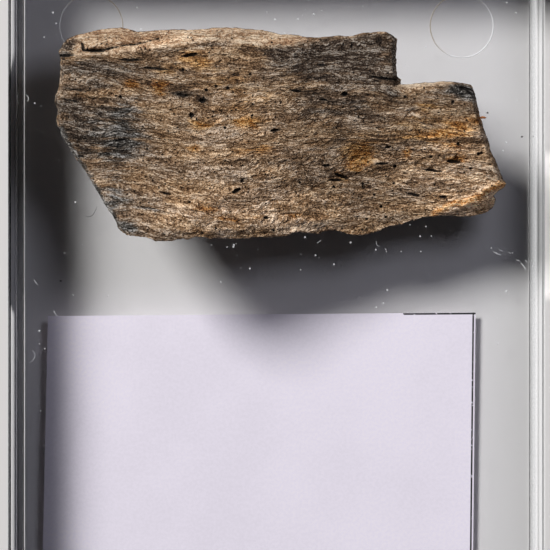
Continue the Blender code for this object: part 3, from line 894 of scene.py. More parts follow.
# Slits and holes: middle, half length, half width, turn, and any other depth and share darkened as
# painted shade
SLITS = (
    (-19.9, 29.5, 0.10, 0.40, 20, 0.2, 0.8), (-19.4, 29.6, 0.08, 0.30, -15, 0.2, 0.8),
    (-21.7, 28.85, 0.9, 0.14, 3, 0.25, 0.95), (-18.6, 29.35, 1.1, 0.13, -2, 0.3),
    (-14.9, 28.4, 1.1, 0.12, 0), (-12.4, 27.5, 1.3, 0.12, -4), (-8.8, 28.9, 0.8, 0.17, 10, 0.34),
    (-0.1, 21.2, 0.55, 0.15, 8, 0.34), (-4.1, 15.0, 0.5, 0.17, 22, 0.36), (5.1, 17.6, 0.4, 0.12, 0),
    (2.0, 25.2, 0.7, 0.12, -8), (4.8, 24.3, 0.35, 0.12, 0), (4.7, 27.9, 0.45, 0.12, 0),
    (-16.0, 20.2, 0.75, 0.12, 8), (-11.3, 14.7, 0.8, 0.14, -10, 0.24, 0.6),
    (-11.5, 12.7, 1.6, 0.12, -7, 0.2, 0.4), (-8.3, 12.9, 1.1, 0.12, -8, 0.2, 0.5),
    (16.1, 17.1, 0.95, 0.13, -6), (14.2, 14.6, 0.7, 0.14, -12), (17.2, 14.4, 0.4, 0.12, 0),
    (10.9, 17.8, 0.7, 0.11, 0), (11.5, 19.5, 0.35, 0.12, 0), (-1.1, 12.2, 0.3, 0.12, 0),
    (18.3, 18.0, 0.75, 0.16, -4), (6.7, 16.5, 0.8, 0.16, -20), (6.2, 16.1, 0.8, 0.12, 0),
    (-9.8, 24.8, 1.15, 0.16, -10, 0.3, 0.7), (11.1, 26.5, 1.5, 0.13, -7),
    (-20.5, 25.3, 1.8, 0.13, -6, 0.2, 0.5), (-21.1, 24.2, 1.4, 0.13, -12, 0.2, 0.5),
    (-20.1, 18.5, 0.4, 0.16, -10, 0.24, 0.8), (-16.0, 24.6, 0.16, 0.14, 0),
    (-7.6, 24.2, 0.30, 0.26, 0, 0.45), (-7.2, 25.3, 0.18, 0.15, 0), (7.0, 24.9, 0.26, 0.23, 0, 0.4),
    (15.9, 18.5, 0.17, 0.15, 0), (20.8, 18.8, 0.15, 0.14, 0), (21.1, 18.9, 0.13, 0.12, 0),
    (18.7, 19.8, 0.15, 0.13, 0), (20.0, 17.3, 0.15, 0.13, 0), (12.2, 17.5, 0.16, 0.13, 0),
    (18.1, 24.1, 0.15, 0.13, 0), (13.2, 24.6, 0.15, 0.13, 0), (12.1, 15.8, 0.14, 0.12, 0),
    (2.4, 15.8, 0.14, 0.12, 0), (5.9, 15.4, 0.15, 0.12, 0), (8.9, 15.7, 0.14, 0.12, 0),
    (10.1, 14.6, 0.14, 0.12, 0), (10.8, 13.4, 0.14, 0.12, 0), (11.3, 12.3, 0.14, 0.12, 0),
    (9.3, 12.1, 0.14, 0.12, 0), (-3.5, 16.0, 0.18, 0.15, 0), (-5.3, 21.4, 0.16, 0.14, 0),
    (-2.5, 22.7, 0.15, 0.13, 0), (-5.0, 25.5, 0.17, 0.15, 0), (-6.2, 25.7, 0.15, 0.13, 0),
    (-9.6, 27.4, 0.16, 0.14, 0), (-2.7, 26.9, 0.14, 0.13, 0), (-7.6, 10.6, 0.14, 0.12, 0),
    (-6.2, 11.1, 0.14, 0.12, 0), (-0.3, 10.9, 0.14, 0.12, 0), (-8.9, 13.8, 0.14, 0.12, 0),
    (-8.7, 22.7, 0.26, 0.2, 0, 0.3), (-21.9, 28.5, 0.15, 0.12, 0), (19.3, 25.5, 0.55, 0.16, -12, 0.2),
    (19.8, 25.0, 0.45, 0.14, -25, 0.2), (19.0, 24.9, 0.35, 0.12, -5, 0.15, 0.8),
)
# The crest between the fibrous face and the tan band of cortex
RIDGE = (
    (-22.6, 28.6), (-20.2, 28.8), (-17.5, 29.0), (-14.1, 29.4), (-10.6, 29.8), (-7.6, 30.3),
    (-6.4, 30.4), (-3.8, 30.1), (-1.5, 29.8), (0.8, 29.6), (2.8, 30.0),
)
CRACK = (
    (-20.0, 30.1), (-19.7, 29.4), (-18.0, 29.4), (-15.7, 29.9), (-14.5, 30.0), (-12.1, 30.6),
)
SHELF_BAND = ((15.9, 12.7), (18.3, 13.8), (19.9, 14.1), (20.9, 14.6), (21.9, 15.3), (23.0, 15.7))
SLANT_RIM = ((-22.2, 21.2), (-20.4, 18.0), (-18.4, 14.7), (-16.5, 11.6))
STEP_RIM = ((12.6, 25.8), (14.4, 25.9), (16.2, 26.0), (18.0, 26.1))


def path_distance(x: Array, y: Array, path: Sequence[Place]) -> Array:
    """Return each place's distance to a path of straight pieces.

    Args:
        x: places along the bone.
        y: places across it.
        path: the path's points.

    Returns:
        One distance for each place.
    """
    nearest = np.full(len(x), np.inf)
    for (x0, y0), (x1, y1) in zip(path[:-1], path[1:]):
        length = (x1 - x0) ** 2 + (y1 - y0) ** 2
        share = np.clip(((x - x0) * (x1 - x0) + (y - y0) * (y1 - y0)) / length, 0.0, 1.0)
        gap = np.hypot(x - x0 - share * (x1 - x0), y - y0 - share * (y1 - y0))
        nearest = np.minimum(nearest, gap)
    return nearest


def ease(low: float, high: float, value: Array) -> Array:
    """Return numbers that rise smoothly from 0 at low to 1 at high."""
    share = np.clip((value - low) / (high - low), 0.0, 1.0)
    return share * share * (3 - 2 * share)


def bell(value: Array, width: float) -> Array:
    """Return 1 where the value is 0 and less to both sides, within about twice the width."""
    return np.exp(-((value / width) ** 2))


def stripe(distance: Array, middle: float, width: float, strength: float) -> Array:
    """Return the strength of a soft line at each distance from a path."""
    return strength * bell(distance - middle, width)


@dataclass
class BoneFragment:
    """The split piece of limb bone."""

    finish: FossilFinish
    node: str = "bone"
    upper_cuts: int = 5
    side_cuts: int = 2
    upper_slope: float = 0.3  # least upward part of the normal on the upper side
    upper_floor: float = 7.0  # lowest height of the upper side
    relax_rounds: int = 14
    relax_in: float = 0.50  # each round's pull towards the neighbours
    relax_out: float = 0.52  # and back out, so that the form keeps its size
    rib_height: float = 0.10
    fibre_height: float = 0.065
    pit_depth: float = 0.13
    rib_noise: tuple = ((0.28, 1.4, 1.4), 3.0, 0.55)
    fine_noise: tuple = ((0.70, 3.2, 3.2), 2.0, 0.6)
    pits: tuple = ((0.95, 3.3, 3.3), (0.42, 0.12), 0.60)
    side_calm: float = 0.55  # the relief's share on the sides
    near_lift: float = 0.35  # undoes some of the rounding of the near rim
    near_lift_from: Place = (-14.0, -12.0)  # along the bone
    near_lift_until: Place = (14.0, 12.5)  # across it
    crack_depth: float = 0.35
    crack_width: float = 0.12
    crack_open: Place = (0.45, 0.35)  # its share darkened as painted shade, and how much more at its left end
    crack_widens: Place = (-15.0, -18.0)  # along the bone
    slit_slope: Place = (1.12, 0.6)  # where a slit starts and is deepest, its edge being 1
    slit_lip: Colour = (1.5, 0.35, 0.05)  # its raised lip's place, width and height
    edge_range: Place = (-0.2, 0.6)  # how far from a slit's edge the distance is kept
    rim_hold: float = 0.9  # how firmly the upper side's rim stays when the form is smoothed
    upper_blend: Place = (0.05, 0.35)  # the normal's upward part from side to upper side
    band_edge: Place = (-0.08, 0.10)  # where the tan band starts past the crest
    band_from: Place = (-21.2, -20.2)  # along the bone
    band_until: Place = (2.4, 4.4)
    # Painted shade: where the dark line under the crest starts, along the bone.
    under_crest_shade_from: Place = (-14.0, -10.0)
    broken_from: Place = (15.4, 16.2)  # along the bone, where the broken edge starts
    # Lines of colour: how far past its path each runs, its width and its strength
    # Painted shade: the dark line just below the crest, laid with umber.
    under_crest_painted_shade: Colour = (-0.45, 0.35, 0.55)
    crest_line: Colour = (0.0, 0.32, 0.9)
    step_line: Colour = (0.0, 0.30, 0.95)
    orange_line: Colour = (0.12, 0.42, 0.97)
    cream_line: Colour = (0.10, 0.30, 0.9)
    # Painted shade: the slanted rim and the side below it, which face away from the key light.
    slant_painted_shade: Colour = (0.0, 0.45, 0.95)
    slant_side_painted_shade: Colour = (0.0, 2.6, 0.95)

    def fine_mesh(self) -> Mesh:
        """Return the solid's form with many more faces, closely cut on its upper side."""
        shape = bmesh.new()
        shape.from_mesh(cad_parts[self.node].data)
        bmesh.ops.remove_doubles(shape, verts=shape.verts, dist=0.002 * MM)
        shape.normal_update()
        upper = [
            face
            for face in shape.faces
            if face.normal.z > self.upper_slope
            and face.calc_center_median().z > self.upper_floor * MM
        ]
        rim = shape.verts.layers.float.new("rim")
        above = set(upper)
        for vertex in shape.verts:
            kinds = {face in above for face in vertex.link_faces}
            vertex[rim] = float(len(kinds) == 2)
        upper_edges = {edge for face in upper for edge in face.edges}
        others = [edge for edge in shape.edges if edge not in upper_edges]
        for edges, cuts in ((others, self.side_cuts), (upper_edges, self.upper_cuts)):
            edges = [edge for edge in edges if edge.is_valid]
            bmesh.ops.subdivide_edges(shape, edges=edges, cuts=cuts, use_grid_fill=True)
        bmesh.ops.triangulate(shape, faces=shape.faces)
        mesh = bpy.data.meshes.new(self.node)
        shape.to_mesh(mesh)
        shape.free()
        mesh.materials.clear()
        return mesh

    def relaxed(self, mesh: Mesh, points: Array, hold: Array) -> Array:
        """Return the points with the facets smoothed away.

        Args:
            mesh: the mesh whose edges join the points.
            points: the points, in millimetres.
            hold: how firmly each point stays, from 0 to 1.

        Returns:
            The moved points.
        """
        edges = np.zeros(len(mesh.edges) * 2, dtype=np.int32)
        mesh.edges.foreach_get("vertices", edges)
        first, second = edges.reshape(-1, 2).T
        count = len(points)
        ends = np.concatenate((first, second))
        others = np.concatenate((second, first))
        degree = np.bincount(ends, minlength=count)
        for _ in range(self.relax_rounds):
            for pull in (self.relax_in, -self.relax_out):
                sums = [np.bincount(ends, points[others, axis], count) for axis in range(3)]
                mean = np.column_stack(sums) / degree[:, None]
                points = points + pull * (1 - hold)[:, None] * (mean - points)
        return points

    def marks(self, x: Array, y: Array, upper: Array) -> dict[str, Array]:
        """Return how strongly each colour, painted light and painted shade is marked at each place.

        Args:
            x: places along the bone.
            y: places across it.
            upper: 1 on the upper side and 0 elsewhere.

        Returns:
            One set of strengths for each mark's name, and one for the sides.
        """
        clear = {mark: np.ones(len(x)) for mark in Mark}
        for mark, rows in STAINS.items():
            for stain in (Stain(*row) for row in rows):
                soft = np.exp(-0.9 * stain.reach(x, y))
                clear[mark] *= 1 - stain.strength * soft
        crest = path_distance(x, y, RIDGE)
        step = path_distance(x, y, STEP_RIM)
        slant = path_distance(x, y, SLANT_RIM)
        past = y - np.interp(x, *np.transpose(RIDGE))
        below = np.interp(x, *np.transpose(SHELF_BAND)) - y
        band = ease(*self.band_edge, past) * (1 - ease(*self.band_until, x))
        broken = ease(*self.broken_from, x)
        for mark, distance, line, where in (
            (Mark.UMBER_AND_SHADE, past, self.under_crest_painted_shade, ease(*self.under_crest_shade_from, x)),
            (Mark.CREAM, crest, self.crest_line, band),
            (Mark.CREAM, step, self.step_line, 1.0),
            (Mark.ORANGE, below, self.orange_line, broken),
            (Mark.CREAM, below, self.cream_line, broken),
            (Mark.CHAR_AND_SHADE, slant, self.slant_painted_shade, 1.0),
        ):
            clear[mark] *= 1 - stripe(distance, *line) * where
        clear[Mark.TAN] *= 1 - band * ease(*self.band_from, x)
        found = {mark.value: (1 - clear[mark]) * upper for mark in Mark}
        # Painted shade with char on the side below the slanted rim.
        painted_side_shade = stripe(slant, *self.slant_side_painted_shade) * (1 - upper)
        found[Mark.CHAR_AND_SHADE.value] = np.maximum(found[Mark.CHAR_AND_SHADE.value], painted_side_shade)
        # The sides, which the finish darkens as painted shade.
        found["side"] = 1 - upper
        return found

    def carve(self, x: Array, y: Array) -> tuple[Array, Array]:
        """Return how deep the slits, holes and the crack are, and how near their edges.

        Args:
            x: places along the bone.
            y: places across it.

        Returns:
            The drop in millimetres, and the distance to the nearest edge, below 0 inside.
        """
        drop = np.zeros(len(x))
        gap = path_distance(x, y, CRACK)
        least, more = self.crack_open
        edge = gap - self.crack_width * (least + more * ease(*self.crack_widens, x))
        for slit in (Slit(*row) for row in SLITS):
            reach = np.sqrt(slit.reach(x, y))
            inside = slit.depth * ease(*self.slit_slope, reach)
            drop = np.maximum(drop, inside - stripe(reach, *self.slit_lip))
            edge = np.minimum(edge, (reach - slit.dark) * slit.half_width)
        drop += self.crack_depth * bell(gap, self.crack_width)
        return drop, np.clip(edge, *self.edge_range)

    def relief(self, material: Material) -> Recipe:
        """Return the recipe that raises the fibres and sinks the pits between them.

        Args:
            material: the bone's finish.

        Returns:
            The recipe.
        """
        recipe = Recipe("bone_relief")
        wiring = recipe.wiring
        ribs = recipe.input("Rib height", self.rib_height)
        fibres = recipe.input("Fibre height", self.fibre_height)
        pits = recipe.input("Pit depth", self.pit_depth)
        position = wiring.add("GeometryNodeInputPosition").outputs[0]
        spot = along_fibres(wiring, millimetres(wiring, position))
        side = wiring.add("GeometryNodeInputNamedAttribute", {"Name": "side"}, data_type="FLOAT")
        calm = wiring.rescale(side.outputs[0], 0.0, 1.0, 1.0, self.side_calm)
        broad = wiring.noise(spot, *self.rib_noise)
        broad = wiring.math("SUBTRACT", wiring.math("MULTIPLY", broad, 2.0), 1.0)
        fine = wiring.noise(spot, *self.fine_noise)
        fine = wiring.math("ABSOLUTE", wiring.math("MULTIPLY_ADD", fine, 2.0, -1.0))
        fine = wiring.math("MINIMUM", wiring.math("MULTIPLY_ADD", fine, 5.0, -1.0), 0.7)
        pit = wiring.cells(spot, *self.pits)
        height = wiring.math("MULTIPLY", broad, ribs)
        height = wiring.math("ADD", height, wiring.math("MULTIPLY", fine, fibres))
        height = wiring.math("SUBTRACT", height, wiring.math("MULTIPLY", pit, pits))
        height = wiring.math("MULTIPLY", height, calm)
        normal = wiring.add("GeometryNodeInputNormal").outputs[0]
        height = wiring.math("MULTIPLY", height, MM)
        push = wiring.add("ShaderNodeVectorMath", {0: normal, "Scale": height}, operation="SCALE")
        inputs = {"Geometry": recipe.entry.outputs["Geometry"], "Offset": push.outputs[0]}
        moved = wiring.add("GeometryNodeSetPosition", inputs).outputs[0]
        # The height is kept for the finish, which paints low places darker as shade.
        height_for_painted_shade = wiring.math("SUBTRACT", wiring.math("MULTIPLY_ADD", fine, 0.35, broad), pit)
        inputs = {"Geometry": moved, "Name": "relief", "Value": height_for_painted_shade}
        stored = wiring.add(
            "GeometryNodeStoreNamedAttribute", inputs, data_type="FLOAT", domain="POINT"
        )
        recipe.give(stored.outputs[0], material)
        return recipe

    def build(self) -> Thing:
        """Return the finished bone."""
        mesh = self.fine_mesh()
        count = len(mesh.vertices)
        points, normals = np.zeros(count * 3), np.zeros(count * 3)
        mesh.vertices.foreach_get("co", points)
        mesh.vertices.foreach_get("normal", normals)
        points, normals = points.reshape(-1, 3) / MM, normals.reshape(-1, 3)
        upper = ease(*self.upper_blend, normals[:, 2]) * (points[:, 2] > self.upper_floor)
        rim = np.zeros(count)
        mesh.attributes["rim"].data.foreach_get("value", rim)
        points = self.relaxed(mesh, points, self.rim_hold * rim**2)
        x, y = points[:, 0], points[:, 1]
        drop, edge = self.carve(x, y)
        near = rim * ease(*self.near_lift_from, x) * ease(*self.near_lift_until, y)
        points[:, 2] += self.near_lift * near * upper - drop * upper
        mesh.vertices.foreach_set("co", (points * MM).ravel())
        for name, values in (*self.marks(x, y, upper).items(), ("rim_gap", edge)):
            store(mesh, name, values)
        mesh.shade_smooth()
        material = self.finish.material()
        mesh.materials.append(material)
        mesh = self.relief(material).run(mesh, "bone_fragment")
        return settle(mesh, "bone_fragment", material, "bone", self.node)


# The tray


@dataclass
class ClearTray:
    """The open moulded tray."""

    finish: ClearFinish
    node: str = "tray"
    wall: float = 0.93
    floor: float = 1.5
    outer_draft: float = 0.35
    inner_draft: float = 0.30
    corner: float = 2.6
    least_corner: float = 0.5
    fillet: float = 0.75
    foot: float = 0.4
    rim: float = 0.18
    sharp: float = 32.0  # degrees between faces from which an edge stays sharp
    corner_steps: int = 16
    round_steps: int = 6
    ring_place: Place = (19.4, 32.4)
    ring_radius: float = 3.3
    ring_bead: float = 0.055
    ring_sides: int = 6
    ring_steps: int = 72
    ring_painted_light: Place = (0.8, -0.6)  # towards the side of a ring that is painted bright, as painted light
    shade_inset: float = 0.45
    shade_open: float = 0.62  # how far in its foot stands where light gets under the wall
    shade_shut: tuple = (2.0, 6.0, 22.0, 30.0)  # along Y, where the left foot stands out
    shade_tops: Place = (7.6, 11.8)
    far_tops: Place = (9.0, 10.5)
    shade_steps: int = 200
    blind_middle: float = 51.25  # along X, beside the tray
    blind_half: Place = (23.75, 60.9)
    blind_height: float = 13.0

    def __post_init__(self) -> None:
        """Read the outside sizes from the frame."""
        _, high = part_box(self.node)
        self.half_x, self.half_y = high.x / MM, high.y / MM
        self.height = high.z / MM

    def loop(self, inset: float, height: float) -> list[Colour]:
        """Return a rounded rectangle inside the rim.

        Args:
            inset: how far inside the outer rim it lies.
            height: its height.

        Returns:
            Its points, anticlockwise.
        """
        radius = max(self.corner - inset, self.least_corner)
        points = []
        for number, (side_x, side_y) in enumerate(((1, 1), (-1, 1), (-1, -1), (1, -1))):
            for step in range(self.corner_steps + 1):
                angle = math.pi / 2 * (number + step / self.corner_steps)
                x = side_x * (self.half_x - inset - radius) + radius * math.cos(angle)
                y = side_y * (self.half_y - inset - radius) + radius * math.sin(angle)
                points.append((x, y, height))
        return points

    def arc(self, centre: Place, radius: float, start: float, end: float) -> list[Place]:
        """Return an arc of the wall's section.

        Args:
            centre: the arc's centre, as inset and height.
            radius: its radius.
            start: its first angle in degrees.
            end: its last.

        Returns:
            Its points, as insets and heights.
        """
        inset, height = centre
        angles = np.radians(np.linspace(start, end, self.round_steps + 1))
        return [(inset + radius * math.cos(a), height + radius * math.sin(a)) for a in angles]

    def section(self) -> list[Place]:
        """Return the wall's section, up its outside and down its inside."""
        top = self.height - self.rim
        inside = self.wall + self.inner_draft + self.fillet
        return [
            *self.arc((self.outer_draft + self.foot, self.foot), self.foot, 270, 180),
            *self.arc((self.rim, top), self.rim, 180, 90),
            *self.arc((self.wall - self.rim, top), self.rim, 90, 0),
            *self.arc((inside, self.floor + self.fillet), self.fillet, 180, 270),
        ]

    def build(self) -> Thing:
        """Return the finished tray."""
        section = self.section()
        points = [point for inset, height in section for point in self.loop(inset, height)]
        mesh = mesh_from("tray", points, tube_faces(len(section), 4 * (self.corner_steps + 1)))
        mesh.set_sharp_from_angle(angle=math.radians(self.sharp))
        piece = settle(mesh, "clear_tray", self.finish.material(), "tray", self.node, shadow=False)
        piece.visible_diffuse = False
        return piece

    def rings(self, material: Material) -> Thing:
        """Return the thin round beads that the mould left on the floor, with painted light on one side
        of each and painted shade on the other.

        Args:
            material: their finish.

        Returns:
            The finished beads.
        """
        points, faces, painted_light_side = [], [], []
        turns = np.linspace(0, 2 * math.pi, self.ring_steps, endpoint=False)
        rolls = np.linspace(0, 2 * math.pi, self.ring_sides, endpoint=False)
        for side_x, side_y in ((-1, -1), (-1, 1), (1, -1), (1, 1)):
            start = len(points)
            for turn in turns:
                # Painted light: how far this point of the bead faces the lit side.
                painted_lit = self.ring_painted_light[0] * side_x * math.cos(turn)
                painted_lit += self.ring_painted_light[1] * math.sin(turn)
                for roll in rolls:
                    radius = self.ring_radius + self.ring_bead * math.cos(roll)
                    x = side_x * self.ring_place[0] + radius * math.cos(turn)
                    y = side_y * self.ring_place[1] + radius * math.sin(turn)
                    points.append((x, y, self.floor + self.ring_bead * math.sin(roll)))
                    painted_light_side.append(0.5 + 0.5 * painted_lit)
            for step in range(self.ring_steps):
                here = start + step * self.ring_sides
                there = start + (step + 1) % self.ring_steps * self.ring_sides
                for side in range(self.ring_sides):
                    after = (side + 1) % self.ring_sides
                    faces.append((here + side, there + side, there + after, here + after))
        mesh = mesh_from("mould_rings", points, faces)
        store(mesh, "painted_light_side", painted_light_side)
        return settle(mesh, "mould_rings", material, "tray", shadow=False)

    def comb(self, name: str, path: Array, feet: Array, tops: Place) -> None:
        """Hide an upright card with a toothed top, whose shadow has a soft edge.

        Args:
            name: the card's name.
            path: where its top runs, on the plan.
            feet: where its foot runs, point by point.
            tops: the heights of its teeth.
        """
        count = len(path)
        points = [(x, y, 0.0) for x, y in feet]
        points += [(x, y, tops[number % 2]) for number, (x, y) in enumerate(path)]
        faces = [(n, n + 1, count + n + 1, count + n) for n in range(count - 1)]
        hide(mesh_from(name, points, faces))

    def shade(self) -> None:
        """Set cards in the walls' places, which only throw the walls' shadows."""
        steps = np.arange(0.0, 1.0 + 1e-6, 1 / self.shade_steps)
        y = -self.half_y + 2 * self.half_y * steps
        shut = ease(self.shade_shut[0], self.shade_shut[1], y)
        shut *= ease(self.shade_shut[3], self.shade_shut[2], y)
        inset = self.shade_open + (self.shade_inset - self.shade_open) * shut
        side = np.full(len(y), self.shade_inset - self.half_x)
        feet = np.column_stack((inset - self.half_x, y))
        self.comb("left_shade", np.column_stack((side, y)), feet, self.shade_tops)
        x = self.half_x * (2 * steps - 1)
        end = np.full(len(x), self.half_y - self.shade_inset)
        for name, ends, tops in (
            ("far_shade", end, self.far_tops), ("near_shade", -end, self.shade_tops)
        ):
            path = np.column_stack((x, ends))
            self.comb(name, path, path, tops)

    def block_fill(self) -> None:
        """Set a card beside the tray that stops the fill light there and lets the key past."""
        half_x, half_y = self.blind_half
        hide(level_face("fill_blind", half_x, half_y, self.blind_height, self.blind_middle))
        passed = bpy.data.collections.new("passed_by_key")
        passed.objects.link(bpy.data.objects["fill_blind"])
        passed.collection_objects[0].light_linking.link_state = "EXCLUDE"
        bpy.data.objects["key"].light_linking.blocker_collection = passed


# The label


@dataclass
class LabelCard:
    """The loose paper label with bare faces and part of a printed border."""

    finish: PaperFinish
    node: str = "label"
    corners: tuple = ((-24.75, -36.5), (20.42, -36.5), (20.83, 2.39), (-23.93, 2.03))
    thickness: float = 0.13
    columns: int = 90
    rows: int = 80
    lift: float = 0.10
    curl_shares: Colour = (0.6, 0.5, 0.4)  # of the lift, at the right, the left and the far edge
    wave: float = 0.02
    sharp: float = 40.0  # degrees between faces from which an edge stays sharp
    shade_heights: tuple = (1.6, 0.55, 0.75, 1.6)  # of the card that throws its shadow

    def build(self) -> Thing:
        """Return the finished label."""
        low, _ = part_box(self.node)
        base = low.z / MM
        near_left, near_right, far_right, far_left = map(np.array, self.corners)
        u, v = np.meshgrid(np.linspace(0, 1, self.columns), np.linspace(0, 1, self.rows))
        u, v = u.ravel()[:, None], v.ravel()[:, None]
        near = near_left + u * (near_right - near_left)
        far = far_left + u * (far_right - far_left)
        plan = near + v * (far - near)
        right, left, far_end = self.curl_shares
        curl = self.lift * (right * u**4 + left * (1 - u) ** 6 + far_end * v**5)
        wave = self.wave * np.sin(5.1 * u + 2.0 * v) * np.sin(4.3 * v + 0.7)
        under = np.column_stack((plan, base + curl + wave + self.wave))
        over = under + np.array((0.0, 0.0, self.thickness))
        count = len(under)
        faces = []
        for row in range(self.rows - 1):
            for column in range(self.columns - 1):
                a = row * self.columns + column
                b, c, d = a + 1, a + 1 + self.columns, a + self.columns
                faces.append((a, d, c, b))
                faces.append((count + a, count + b, count + c, count + d))
        ring = [*range(self.columns)]
        ring += [row * self.columns + self.columns - 1 for row in range(1, self.rows)]
        ring += [(self.rows - 1) * self.columns + c for c in range(self.columns - 2, -1, -1)]
        ring += [row * self.columns for row in range(self.rows - 2, 0, -1)]
        for a, b in zip(ring, ring[1:] + ring[:1]):
            faces.append((a, b, count + b, count + a))
        mesh = mesh_from("label", np.concatenate((under, over)), faces)
        mesh.set_sharp_from_angle(angle=math.radians(self.sharp))
        width = float(np.linalg.norm(far_right - far_left))
        depth = float(np.linalg.norm(far_right - near_right))
        sides = np.column_stack(((1 - u[:, 0]) * width, (1 - v[:, 0]) * depth))
        corners = np.zeros(len(mesh.loops), dtype=np.int32)
        mesh.loops.foreach_get("vertex_index", corners)
        layer = mesh.uv_layers.new(name="from_corner")
        layer.data.foreach_set("uv", sides[corners % count].astype(np.float32).ravel())
        material = self.finish.material()
        piece = settle(mesh, "label_card", material, "label", self.node, shadow=False)
        corners = [(*corner, z) for corner, z in zip(self.corners, self.shade_heights)]
        hide(mesh_from("label_shade", corners, ((0, 1, 2, 3),)))
        return piece


# Lint, crumbs and specks


@dataclass(frozen=True)
class Strand:
    """A loose hair or fibre that lies along a route."""

    route: tuple
    thickness: float = 0.045
    dark: bool = False


STRANDS = (
    Strand(
        ((-18.8, 13.5, 1.6), (-19.1, 12.8, 1.6), (-19.5, 12.45, 1.6), (-20.05, 12.5, 1.6)), 0.05, True
    ),
    Strand(((-4.99, 17.6, 14.15), (-4.99, 17.0, 14.2), (-5.2, 16.5, 14.15)), 0.035, True),
    Strand(((-4.99, 17.05, 14.2), (-4.68, 16.7, 14.2)), 0.03, True),
    Strand(((4.24, 9.67, 1.65), (4.45, 9.8, 1.75), (4.66, 9.98, 1.65))),
    Strand(((10.42, 9.88, 1.65), (10.45, 9.65, 1.8), (10.52, 9.46, 1.8), (10.78, 9.30, 1.65))),
    Strand(((-25.4, 5.9, 1.7), (-25.25, 5.6, 1.8), (-25.0, 5.27, 1.7))),
    Strand(((-23.3, 2.66, 2.2), (-23.15, 2.3, 2.4), (-22.9, 2.03, 2.3))),
    Strand(((-26.2, 25.1, 5.0), (-25.9, 24.9, 5.0), (-25.85, 24.6, 5.0), (-26.0, 24.4, 5.0)), 0.07),
    Strand(((-25.6, -1.6, 1.7), (-25.3, -2.2, 1.8), (-25.9, -2.9, 1.7))),
    Strand(((22.66, 8.78, 1.55), (23.1, 8.55, 1.58), (23.5, 8.41, 1.55)), 0.06),
    Strand(((23.3, 8.99, 1.55), (23.7, 8.78, 1.56)), 0.05),
    Strand(((24.3, 8.73, 1.55), (24.55, 8.52, 1.56)), 0.05),
    Strand(((25.6, 7.58, 1.6), (25.9, 7.2, 1.65), (26.1, 6.84, 1.7)), 0.06),
    Strand(((25.07, 7.9, 1.55), (25.5, 7.8, 1.58)), 0.05),
    Strand(((26.0, 7.9, 1.6), (26.3, 7.6, 1.7)), 0.05),
)


